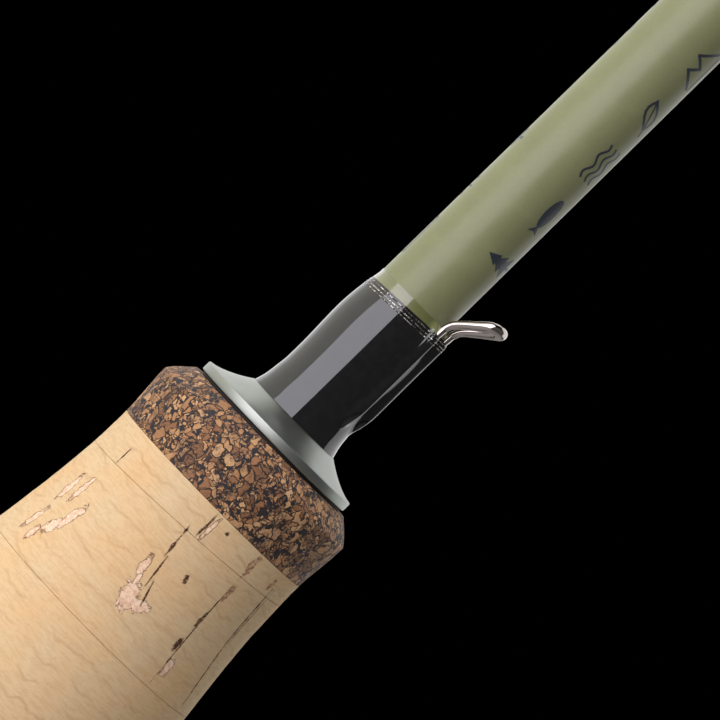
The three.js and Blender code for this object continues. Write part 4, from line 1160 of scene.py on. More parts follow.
# ---------- winding check, keeper wrap and hook keeper ----------
@dataclass(frozen=True)
class Front:
    """The winding check, its gasket, the varnished wrap and the hook keeper that it holds down."""

    gasket_radius: float = 9.2
    gasket_low: float = 260.0
    gasket_high: float = 260.2
    rim_radius: float = 9.5
    foot: float = 260.25
    rim: float = 1.0
    trumpet: float = 1.85
    flare_power: float = 0.65
    neck_wall: float = 1.02
    wrap_start: float = 263.15
    wrap_length: float = 16.05
    thread_end: float = 278.2
    glue: float = 0.12
    wire: float = 0.56
    slim: float = 0.7  # share of that radius where the legs leave the blank
    half_gap: float = 1.2
    leg: float = 12.0
    height: float = 5.0
    reach: float = 3.1
    over_leg: float = 0.29
    ground: float = 0.33  # the legs' radius under the thread, where they are ground thin
    end_slant: float = 0.055  # how much the thread's front end leans, seen from the show side
    lean_radius: float = 4.6
    trims: tuple[float, ...] = (277.25, 277.57, 277.92)
    sides: int = 192

    @property
    def wrap_end(self) -> float:
        """Returns the height where the varnish runs out."""
        return self.wrap_start + self.wrap_length

    @property
    def bend(self) -> float:
        """Returns the height where the keeper's legs leave the blank."""
        return self.wrap_end + 0.5

    def lie(self, blank: Blank) -> float:
        """Returns how far the legs' middles are from the rod's axis."""
        return blank.butt(self.bend - self.leg) + self.glue + self.wire

    @cached_property
    def walls(self) -> list[Vector]:
        """Returns the varnish's thickness over the blank, as smoothed (share of its length, wall) places."""
        knots = [
            (0.0, 1.02), (0.03, 0.88), (0.08, 0.69), (0.16, 0.54), (0.23, 0.43), (0.37, 0.43),
            (0.49, 0.5), (0.61, 0.57), (0.7, 0.57), (0.785, 0.48), (0.844, 0.38), (0.902, 0.24),
            (0.964, 0.06), (1.0, 0.03),
        ]
        return through([(share, wall, 0.0) for share, wall in knots], per=6)

    def coat(self, blank: Blank, z: float) -> float:
        """Returns the varnish's outside radius at a height, away from the keeper."""
        share = (z - self.wrap_start) / self.wrap_length
        spans = zip(self.walls, self.walls[1:])
        low, high = next(span for span in spans if share <= span[1].x or span[1] is self.walls[-1])
        part = min(1.0, max(0.0, (share - low.x) / (high.x - low.x)))
        return blank.butt(z) + low.y + (high.y - low.y) * part

    def hump(self, blank: Blank, angle: float, z: float) -> float:
        """Returns how far from the axis the varnish over the two legs reaches."""
        foot = self.bend - self.leg
        ends = min(1.0, max(0.0, (z - foot + 3.5) / 4.5), max(0.0, (self.wrap_end + 0.3 - z) / 1.6))
        rise = (1 - math.cos(math.pi * ends)) / 2
        size = self.ground + self.over_leg
        middle = blank.butt(z) + self.glue + self.ground - (1 - rise) * size * 1.4
        furthest = 0.0
        for side in (-1, 1):
            x, y = side * self.half_gap, -middle
            away = math.hypot(x, y)
            off = angle - math.atan2(y, x)
            inside = size**2 - (away * math.sin(off)) ** 2
            if inside > 0 and math.cos(off) > 0:
                furthest = max(furthest, away * math.cos(off) + math.sqrt(inside))
        return furthest

    def outside(self, blank: Blank, angle: float, z: float) -> float:
        """Returns the varnish's outside radius: the highest near by, averaged, so it flows over the legs."""
        level = self.coat(blank, z)
        total = 0.0
        weights = 0.0
        for step in range(-4, 5):
            near = angle + step * 0.026
            weight = 1.0 / (1.0 + 0.12 * step * step)
            total += weight * max(level, self.hump(blank, near, z))
            weights += weight
        return total / weights

    def lean(self, angle: float, radius: float) -> float:
        """Returns how far the thread's front end leans at an angle, in millimetres along the rod."""
        side = math.radians(SHOW_SIDE + 90)
        return self.end_slant * radius * (math.cos(angle) * math.sin(side) - math.sin(angle) * math.cos(side))

    def sleeve(
        self, blank: Blank, low: float, high: float, lean_low: bool, lean_high: bool, bore: float
    ) -> BMesh:
        """Skins a stretch of the varnished wrap; either end may lean with the thread."""
        steps = max(6, round((high - low) / 0.2))

        def station(share: float, inner: bool) -> Ring:
            """Returns the ring at a share of the stretch."""
            def place(angle: float) -> Vector:
                """Returns one place on the ring."""
                shift = self.lean(angle, self.lean_radius)
                start = low + shift * lean_low
                end = high + shift * lean_high
                z = start + (end - start) * share
                return polar(bore if inner else self.outside(blank, angle, z), angle, z)

            return place

        outer = [station(i / steps, False) for i in range(steps + 1)]
        return skin([*outer, station(1.0, True), station(0.0, True)], self.sides * 2, closed=True)

    def check(self, blank: Blank) -> BMesh:
        """Turns the trumpet-shaped winding check."""
        foot = self.foot
        top = foot + self.rim
        bore = blank.butt(self.wrap_start) + 0.1
        neck = bore + self.neck_wall
        edge = 0.13
        corner = [(self.rim_radius - trim, foot + rise) for rise, trim in eased(edge)]
        rim_top = [(self.rim_radius - rise, top - trim) for rise, trim in eased(edge)[:-1]]
        flare = []
        steps = 36
        for i in range(2, steps + 1):
            along = (i / steps) ** 2
            r = self.rim_radius - (self.rim_radius - neck) * along**self.flare_power
            flare.append((r, top + self.trumpet * along))
        lip = [(neck - 0.1, top + self.trumpet + 0.04), (bore, top + self.trumpet + 0.04)]
        return revolve([(bore, foot), *corner, *rim_top, *flare, *lip], sides=256)

    def keeper_path(self, blank: Blank) -> list[Vector]:
        """Returns the keeper's wire: a leg, the loop that leans forward, and the other leg."""
        low, bend = self.lie(blank), self.bend
        top = blank.butt(bend) + self.height - self.wire
        foot = bend - self.leg
        thin = blank.butt(foot) + self.glue + self.ground
        leg = [
            (1, thin, foot),
            (1, thin, (foot + bend) / 2),
            (1, thin + 0.02, bend - 2.4),
            (1, thin + 0.08, bend - 1.0),
            (1, thin + 0.18, bend - 0.2),
            (1, low + 0.12 * (top - low), bend + 0.2 * self.reach),
            (1, (low + top) / 2, bend + 0.58 * self.reach),
            (0.92, low + 0.82 * (top - low), bend + 0.88 * self.reach),
            (0.5, low + 0.97 * (top - low), bend + 0.98 * self.reach),
        ]
        def placed(side: int) -> list[tuple[float, float, float]]:
            """Returns one leg's places on a side of the loop."""
            return [(side * share * self.half_gap, -drop, z) for share, drop, z in leg]

        return through([*placed(1), (0, -top, bend + self.reach), *reversed(placed(-1))], per=7)

    def thinned(self, path: Sequence[Vector]) -> list[float]:
        """Returns the wire's share of its radius: ground flat under the thread, full at the loop's tip."""
        shares = []
        for place in path:
            under = min(1.0, max(0.0, (self.bend - 0.1 - place.z) / 2.4))
            out = min(1.0, max(0.0, (place.z - self.bend) / (self.reach * 0.9)))
            slim = self.slim + (1 - self.slim) * out**1.5
            shares.append(slim - (self.slim - self.ground / self.wire) * under)
        return shares

    def build(self, finishes: Finishes, blank: Blank) -> None:
        """Builds the front pieces from the grip's face to the keeper."""
        hole = blank.butt(self.gasket_low) + 0.12
        low, high, out = self.gasket_low, self.gasket_high, self.gasket_radius
        edge = [(out - 0.03, low), (out, low + 0.03), (out, high - 0.03), (out - 0.03, high)]
        gasket = revolve([(hole, low), *edge, (hole, high)], sides=192)
        rubber = finishes.matte("black rubber", (16, 16, 17), 0.7, 0.2)
        publish(gasket, "rubber_gasket", rubber, Body.BUTT, Slot.RUBBER, "check_gasket")
        satin = finishes.metal("satin winding check", CHECK_COLOUR, 0.42, pitch=0.06, marks=0.006)
        check = self.check(blank)
        publish(check, "trumpet_check", satin, Body.BUTT, Slot.ALUMINIUM, "winding_check", sharp=40)
        black = finishes.thread("black keeper thread", (15, 15, 16))
        bore = blank.butt(self.wrap_start) + 0.03
        thread = self.sleeve(blank, self.wrap_start, self.thread_end, False, True, bore)
        publish(thread, "keeper_thread", black, Body.BUTT, Slot.WRAP, "keeper_wrap", sharp=60)
        clear = finishes.lacquer("olive under varnish", VARNISHED_COLOUR, 0.3, coat=1.0)
        varnish = self.sleeve(blank, self.thread_end + 0.01, self.wrap_end, True, False, bore - 0.02)
        publish(varnish, "clear_varnish", clear, Body.BUTT, Slot.BLANK, sharp=60)
        silver = finishes.silver_thread()
        for number, height in enumerate(self.trims, 1):
            path = []
            steps = 240
            for i in range(steps):
                angle = 2 * math.pi * i / steps
                z = height + self.lean(angle, self.lean_radius)
                path.append(polar(self.outside(blank, angle, z) - 0.015, angle, z))
            trim = sweep(path, 0.062, sides=10, looped=True)
            publish(trim, f"silver_trim_{number}", silver, Body.BUTT, Slot.CHROME, sharp=80)
        chrome = finishes.metal("bright keeper wire", (188, 178, 172), 0.09, pitch=0.4, marks=0.001)
        path = self.keeper_path(blank)
        wire = round_edges(sweep(path, self.wire, sides=28, shares=self.thinned(path)), 0.1, 3, 50)
        publish(wire, "keeper_loop", chrome, Body.BUTT, Slot.CHROME, "hook_keeper", sharp=50)


# ---------- prints on the blank ----------
class Icon(Enum):
    """The small printed pictures on the butt section."""

    PINE = "pine"
    FISH = "fish"
    WAVES = "waves"
    LEAF = "leaf"
    HILLS = "hills"
    SUN = "sun"


@dataclass(frozen=True)
class Prints:
    """Small dark pictures printed on the blank in front of the keeper, read with the tip to the right."""

    ink: Colour = (44, 50, 60)
    thickness: float = 0.012
    scale: float = 1.2
    rows: tuple[tuple[float, float], ...] = ((49.0, 0.0), (172.0, 2.6), (-97.0, -3.4))  # azimuth, shift
    spacing: float = 6.6
    first: float = 287.4
    count: int = 8

    @staticmethod
    def shape(bm: BMesh, corners: Profile) -> None:
        """Adds one flat outline to the picture."""
        bm.faces.new([bm.verts.new((x, y, 0)) for x, y in corners])

    @staticmethod
    def oval(width: float, height: float, steps: int) -> list[tuple[float, float]]:
        """Returns an oval outline from its two radii."""
        angles = [2 * math.pi * i / steps for i in range(steps)]
        return [(width * math.cos(angle), height * math.sin(angle)) for angle in angles]

    def stroke(self, bm: BMesh, line: Profile, width: float) -> None:
        """Adds a stroke of even width along a line."""
        for (x0, y0), (x1, y1) in zip(line, line[1:]):
            along = Vector((x1 - x0, y1 - y0)).normalized() * width / 2
            side = Vector((-along.y, along.x))
            a = Vector((x0, y0)) - along
            b = Vector((x1, y1)) + along
            self.shape(bm, [a - side, b - side, b + side, a + side])

    def draw(self, icon: Icon) -> BMesh:
        """Draws a picture flat, about 3 mm across, in millimetres."""
        bm = bmesh.new()
        if icon is Icon.PINE:
            for low, half in ((-1.1, 1.0), (-0.3, 0.8), (0.45, 0.55)):
                self.shape(bm, [(-half, low), (half, low), (0, low + 1.15)])
            self.stroke(bm, [(0, -1.6), (0, -1.0)], 0.28)
        elif icon is Icon.FISH:
            self.shape(bm, self.oval(1.5, 0.62, 14))
            self.shape(bm, [(-1.3, 0), (-2.1, 0.6), (-1.9, 0), (-2.1, -0.6)])
        elif icon is Icon.WAVES:
            for row in (-0.7, 0.0, 0.7):
                line = [(-1.7 + 0.2 * i, row + 0.2 * math.sin(0.2 * i * 3.6)) for i in range(18)]
                self.stroke(bm, line, 0.2)
        elif icon is Icon.LEAF:
            self.stroke(bm, [(-1.7, -0.9), (1.3, 0.6)], 0.16)
            for side in (-0.75, 0.75):
                shares = [t / 6 for t in range(7)]
                bow = [(-1.1 + 2.3 * t, -0.6 + 1.15 * t + side * math.sin(math.pi * t)) for t in shares]
                self.stroke(bm, bow, 0.24)
        elif icon is Icon.HILLS:
            self.stroke(bm, [(-1.9, -0.8), (-0.8, 0.7), (-0.1, -0.2), (0.6, 0.9), (1.9, -0.8)], 0.26)
            self.stroke(bm, [(-1.9, -1.2), (1.9, -1.2)], 0.18)
        else:
            self.shape(bm, self.oval(0.6, 0.6, 12))
            for i in range(8):
                angle = 2 * math.pi * i / 8
                ray = [(share * math.cos(angle), share * math.sin(angle)) for share in (0.9, 1.4)]
                self.stroke(bm, ray, 0.2)
        bmesh.ops.triangulate(bm, faces=bm.faces)
        long = [edge for edge in bm.edges if edge.calc_length() > 0.5]
        bmesh.ops.subdivide_edges(bm, edges=long, cuts=3, use_grid_fill=True)
        bmesh.ops.triangulate(bm, faces=bm.faces)
        return bm

    def laid(self, icon: Icon, blank: Blank, z: float, azimuth: float) -> BMesh:
        """Lays a picture on the blank with its middle at a height and an azimuth."""
        bm = self.draw(icon)
        bmesh.ops.solidify(bm, geom=bm.faces[:], thickness=self.thickness)
        for vert in bm.verts:
            along, across, lift = vert.co.x * self.scale, vert.co.y * self.scale, vert.co.z
            height = z + along
            r = blank.butt(height) + 0.016 + lift
            angle = math.radians(azimuth) - across / blank.butt(height)
            vert.co = Vector((r * math.sin(angle), -r * math.cos(angle), height)) * MM
        bmesh.ops.recalc_face_normals(bm, faces=bm.faces)
        return bm

    def build(self, finishes: Finishes, blank: Blank) -> None:
        """Prints the pictures as one piece."""
        kinds = list(Icon)
        laid = []
        for row, (turn, shift) in enumerate(self.rows):
            for i in range(self.count):
                icon = kinds[(i + 2 * row) % len(kinds)]
                laid.append(self.laid(icon, blank, self.first + shift + i * self.spacing, SHOW_SIDE + turn))
        ink = finishes.lacquer("print ink", self.ink, 0.4)
        publish(joined(*laid), "blank_prints", ink, Body.BUTT, Slot.BLANK, sharp=60)


# ---------- reel seat ----------
@dataclass(frozen=True)
class ReelSeat:
    """The butt cap, threaded barrel, wooden insert, two hoods and the nut that drives the lower one."""

    cap: float = 10.2
    cap_length: float = 12.0
    barrel: float = 8.5
    barrel_end: float = 52.0
    insert: float = 8.25
    insert_end: float = 103.1
    nut: float = 10.6
    nut_start: float = 27.0
    nut_length: float = 6.0
    scallops: int = 20
    scallop: float = 0.5
    hood: float = 10.2
    hood_length: float = 12.6
    nose: float = 8.7
    nose_offset: float = 4.2
    lower_hood: float = 33.1
    upper_hood: float = 90.5
    pocket_width: float = 8.0
    pocket_drop: float = 11.9
    pocket_depth: float = 10.1
    pitch: float = 2.0
    thread_start: float = 13.2
    thread_depth: float = 0.35
    floor: float = 4.0  # inside the cap
    barrel_bore: float = 7.45
    neck: float = 7.28  # the insert's stem inside the barrel
    insert_bore: float = 4.98

    def nose_reach(self, angle: float, radius: float) -> float:
        """Returns how far the nose's round reaches from the axis at an angle."""
        off = angle + math.pi / 2
        inside = radius**2 - (self.nose_offset * math.sin(off)) ** 2
        return self.nose_offset * math.cos(off) + math.sqrt(inside) if inside > 0 else 0.0

    def hood_outside(self, angle: float, trim: float) -> float:
        """Returns a hood's outside radius at an angle, drawn in by a trim near its ends."""
        plain, nose = self.hood - trim, self.nose_reach(angle, self.nose - trim)
        return max(plain, nose) + 0.2 * math.exp(-abs(plain - nose) / 0.5)

    def hood_inside(self, angle: float, pocket: bool) -> float:
        """Returns a hood's bore at an angle, which a pocket for the reel foot may widen."""
        bore = self.barrel + 0.15
        if not pocket:
            return bore
        x, y = math.cos(angle), math.sin(angle)
        reach = min(self.pocket_width / 2 / max(abs(x), 1e-6), self.pocket_drop / max(-y, 1e-6))
        return max(bore, reach) if y < 0 else bore

    def hood_shape(self, start: float, mouth_up: bool) -> BMesh:
        """Skins a hood, whose pocket opens towards the reel foot."""
        end = start + self.hood_length
        rounding = eased(1.1, 6)
        rows = [(start + rise, trim) for rise, trim in rounding]
        rows += [(end - rise, rise) for rise, _ in rounding]
        if mouth_up:
            floor = end - self.pocket_depth
            holes = [(end, True), (floor, True), (floor, False), (start, False)]
        else:
            roof = start + self.pocket_depth
            holes = [(end, False), (roof, False), (roof, True), (start, True)]
        outer = [level_ring(z, partial(self.hood_outside, trim=trim)) for z, trim in rows]
        inner = [level_ring(z, partial(self.hood_inside, pocket=pocket)) for z, pocket in holes]
        return skin([*outer, *inner], 192, closed=True)

    def scalloped(self, outside: float, bore: float, low: float, high: float) -> BMesh:
        """Skins the lock nut, with rounded ends on its scallops."""
        rounding = eased(0.6)
        rings = knurled(outside, self.scallop, self.scallops)
        rows = [(low + rise, trim) for rise, trim in rounding]
        rows += [(high - rise, trim) for rise, trim in reversed(rounding)]
        holes = [level_ring(z, lambda angle: bore) for z in (high, low)]
        return skin([*(rings(z, trim) for z, trim in rows), *holes], 360, closed=True)

    def threaded(self) -> BMesh:
        """Turns the barrel and winds its thread, one helical ridge."""
        root = self.barrel - self.thread_depth
        foot = self.floor + 0.05
        end = self.barrel_end
        core = revolve(
            [
                (root, foot), (self.barrel, 5.0), (self.barrel, 12.6), (root, 13.0), (root, end - 1.2),
                (self.barrel, end - 0.9), (self.barrel, end - 0.15), (self.barrel - 0.15, end),
                (self.barrel_bore, end), (self.barrel_bore, foot),
            ],
            sides=96,
        )
        turns = int((self.barrel_end - 16.0) / self.pitch)
        steps = 48
        ridge = bmesh.new()
        low = self.thread_start
        crest = self.barrel - 0.02
        corners = [(root - 0.05, low), (crest, low + 0.45), (crest, low + 0.85), (root - 0.05, low + 1.3)]
        verts = [ridge.verts.new((r * MM, 0, z * MM)) for r, z in corners]
        edges = [ridge.edges.new(pair) for pair in zip(verts, [*verts[1:], verts[0]])]
        bmesh.ops.spin(
            ridge, geom=verts + edges, cent=(0, 0, 0), axis=(0, 0, 1), dvec=(0, 0, self.pitch * MM / steps),
            angle=2 * math.pi * turns, steps=steps * turns, use_merge=False,
        )
        bmesh.ops.holes_fill(ridge, edges=ridge.edges, sides=4)
        bmesh.ops.recalc_face_normals(ridge, faces=ridge.faces)
        return joined(core, ridge)

    def build(self, finishes: Finishes) -> None:
        """Builds the seat from the cap up."""
        satin = finishes.metal("satin seat", (186, 190, 186), 0.3, pitch=0.12)
        out, top, hole = self.cap, self.cap_length, self.barrel + 0.15
        cap = revolve(
            [
                (0, 0), (5.6, 0), (6.0, 0.4), (6.4, 0), (out - 1.3, 0), (out - 0.55, 0.3),
                (out - 0.15, 0.8), (out, 1.5), (out, 3.4), (out - 0.3, 3.7), (out - 0.3, 4.1),
                (out, 4.4), (out, 8.6), (out - 0.3, 8.9), (out - 0.3, 9.3), (out, 9.6),
                (out, top - 0.5), (out - 0.15, top - 0.15), (out - 0.5, top), (hole, top),
                (hole, self.floor), (0, self.floor),
            ],
            sides=160,
            closed=False,
        )
        publish(cap, "end_cap", satin, Body.BUTT, Slot.ALUMINIUM, "butt_cap")
        publish(self.threaded(), "threaded_barrel", satin, Body.BUTT, Slot.ALUMINIUM, "seat_barrel")
        bore, foot = self.insert_bore, self.floor + 0.05
        low = self.barrel_end + 0.05
        insert = revolve(
            [
                (self.neck, foot), (self.neck, low), (self.insert - 0.2, low), (self.insert, low + 0.2),
                *((self.insert, low + 1.0 + 4.9 * i) for i in range(11)),
                (self.insert, self.insert_end - 0.2), (self.insert - 0.2, self.insert_end),
                (bore, self.insert_end), (bore, foot),
            ],
            sides=160,
        )
        publish(insert, "walnut_insert", finishes.wood("oiled walnut"), Body.BUTT, Slot.WALNUT, "seat_insert")
        upper = self.hood_shape(self.upper_hood, False)
        publish(upper, "upper_hood", satin, Body.BUTT, Slot.ALUMINIUM, "grip_hood", sharp=40)
        lower = self.hood_shape(self.lower_hood, True)
        publish(lower, "lower_hood", satin, Body.HOOD, Slot.ALUMINIUM, "sliding_hood", sharp=40)
        nut = self.scalloped(self.nut, self.barrel + 0.15, self.nut_start, self.nut_start + self.nut_length)
        publish(nut, "knurled_nut", satin, Body.NUT, Slot.ALUMINIUM, "lock_nut", sharp=40)


# ---------- guides ----------
@dataclass(frozen=True)
class Guides:
    """The stripping guide, six snake guides and the tip top, with the thread that binds their feet."""

    length: float = 1676.0
    stripper_from_tip: float = 965.0
    snakes_from_tip: tuple[float, ...] = (810.0, 650.0, 490.0, 345.0, 215.0, 100.0)
    ring: float = 5.1
    ring_thickness: float = 1.7
    ring_wall: float = 0.55
    insert_wall: float = 1.05
    stand: float = 9.2
    stripper_wire: float = 0.62
    stripper_foot: float = 15.0
    snake_wire: float = 0.45
    snake_foot: float = 11.0
    loop: float = 2.5
    tip_wire: float = 0.5
    glue: float = 0.12

    @staticmethod
    def body_at(blank: Blank, z: float) -> Body:
        """Returns the section that a guide at this height is bound to."""
        return Body.TIP if z > blank.ferrules[1] else Body.MIDDLE

    def bind(self, blank: Blank, name: str, low: float, high: float, wire: float, black: Look) -> None:
        """Winds thread over one foot, from behind its tip towards the ring."""
        body = self.body_at(blank, low)
        reach = 2 * wire + 0.22

        def place(z: float, inner: bool) -> Ring:
            """Returns a ring of the binding at a height."""
            ends = min(1.0, (z - low) / 1.4, (high - z) / 1.4)
            ease = math.sin(max(0.0, ends) * math.pi / 2)

            def radius(angle: float) -> float:
                """Returns the ring's radius at an angle."""
                base = blank.outside(z)
                off = (angle + math.pi / 2 + math.pi) % (2 * math.pi) - math.pi
                over = math.exp(-((off * base / (wire * 1.7)) ** 2))
                return base + 0.02 if inner else base + 0.05 + ease * (0.22 + reach * over)

            return level_ring(z, radius)

        steps = 24
        heights = [low + (high - low) * i / steps for i in range(steps + 1)]
        rings = [place(z, False) for z in heights]
        binding = skin([*rings, place(high, True), place(low, True)], 144, closed=True)
        publish(binding, name, black, body, Slot.WRAP, sharp=60)

    def stripper(self, blank: Blank, finishes: Finishes, chrome: Look, black: Look) -> None:
        """Builds the stripping guide: its wire frame, ceramic ring and bindings."""
        z = self.length - self.stripper_from_tip
        lie = blank.outside(z) + self.glue + self.stripper_wire + 0.1
        centre = -(blank.outside(z) + self.stand)
        half = self.ring_thickness / 2
        edge = self.ring - self.stripper_wire * 0.5
        hole = self.ring - self.ring_wall
        band = revolve([(self.ring, -half), (self.ring, half), (hole, half), (hole, -half)], sides=96)
        parts = [shifted(round_edges(band, 0.18, 3, 60), (0, centre, z))]
        for side in (-1, 1):
            leg = [
                (0, -lie, z - self.stripper_foot),
                (0, -lie, z - self.stripper_foot * 0.5),
                (side * 1.6, -lie - 1.2, z - 4.6),
                (side * edge * 0.9, centre + 2.4, z - 1.1),
                (side * edge, centre + 0.4, z),
            ]
            parts.append(sweep(through(leg), self.stripper_wire, 16))
        front = [
            (0, -lie, z + self.stripper_foot),
            (0, -lie, z + self.stripper_foot * 0.5),
            (0, -lie - 1.1, z + 4.2),
            (0, centre + edge + 0.2, z + 0.4),
        ]
        parts.append(sweep(through(front), self.stripper_wire, 16))
        body = self.body_at(blank, z)
        frame_wire = joined(*parts)
        publish(frame_wire, "stripper_frame", chrome, body, Slot.CHROME, "stripping_guide_frame", sharp=50)
        wall = hole - self.glue
        thick = self.insert_wall
        section = [
            (wall - thick / 2 + thick / 2 * math.cos(t), (half + 0.2) * math.sin(t))
            for t in (2 * math.pi * i / 20 for i in range(20))
        ]
        insert = shifted(revolve(section, sides=96), (0, centre, z))
        glaze = finishes.lacquer("glazed ceramic", (38, 40, 46), 0.08, coat=0.6)
        publish(insert, "stripper_ring", glaze, body, Slot.CERAMIC, "stripping_guide_ring", sharp=60)
        foot = self.stripper_foot
        self.bind(blank, "stripper_binding_1", z - foot - 2, z - foot * 0.42, self.stripper_wire, black)
        self.bind(blank, "stripper_binding_2", z + foot * 0.42, z + foot + 2, self.stripper_wire, black)

    def snake(self, number: int, blank: Blank, chrome: Look, black: Look) -> None:
        """Builds one snake guide and its two bindings."""
        z = self.length - self.snakes_from_tip[number]
        low = blank.outside(z - self.snake_foot) + self.glue + self.snake_wire
        scale = 1 - 0.07 * number
        wide, high, foot = 2.1 * scale, 4.7 * scale, self.snake_foot * (1 - 0.05 * number)
        half = [
            (0, low, foot),
            (0, low + 0.02, foot * 0.58),
            (wide * 0.62, low + high * 0.12, foot * 0.4),
            (wide, low + high * 0.48, foot * 0.24),
            (wide * 0.6, low + high * 0.88, foot * 0.1),
        ]
        path = [(x, -drop, z - along) for x, drop, along in half]
        path += [(0, -(low + high), z)]
        path += [(-x, -drop, z + along) for x, drop, along in reversed(half)]
        wire = sweep(through(path), self.snake_wire, 16)
        name = f"snake_{number + 1}"
        body = self.body_at(blank, z)
        publish(wire, f"{name}_wire", chrome, body, Slot.CHROME, f"snake_guide_{number + 1}", sharp=60)
        self.bind(blank, f"{name}_binding_1", z - foot - 1.6, z - foot * 0.5, self.snake_wire, black)
        self.bind(blank, f"{name}_binding_2", z + foot * 0.5, z + foot + 1.6, self.snake_wire, black)

    def tip_top(self, blank: Blank, chrome: Look, black: Look) -> None:
        """Builds the tip top's tube and loop, and the band of thread behind it."""
        end = blank.tip_end + 0.4
        start = end - 12.0
        bore = blank.tip(start) + self.glue
        outer = bore + 0.45
        top = self.length - self.tip_wire
        tube = revolve(
            [
                (bore, start), (outer - 0.1, start), (outer, start + 0.15), (outer, top - 0.25),
                (outer - 0.2, top), (0, top), (0, end - 0.3), (bore, end - 0.3),
            ],
            sides=48,
        )
        circle = [
            Vector((self.loop * math.cos(t), self.loop * math.sin(t) - self.loop - 0.4, top))
            for t in (2 * math.pi * i / 64 for i in range(64))
        ]
        loop = sweep(circle, self.tip_wire, 16, looped=True)
        publish(joined(tube, loop), "tip_loop", chrome, Body.TIP, Slot.CHROME, "tip_top", sharp=50)
        band = thread_band(blank.tip, start - 5.0, start + 0.6, 0.3)
        publish(band, "tip_binding", black, Body.TIP, Slot.WRAP)

    def build(self, finishes: Finishes, blank: Blank) -> None:
        """Builds the guides from the stripping guide to the tip."""
        chrome = finishes.metal("polished guide wire", (208, 208, 206), 0.1, pitch=0.5, marks=0.001)
        black = finishes.thread("black guide thread", (14, 14, 15), pitch=0.14)
        self.stripper(blank, finishes, chrome, black)
        for number in range(len(self.snakes_from_tip)):
            self.snake(number, blank, chrome, black)
        self.tip_top(blank, chrome, black)


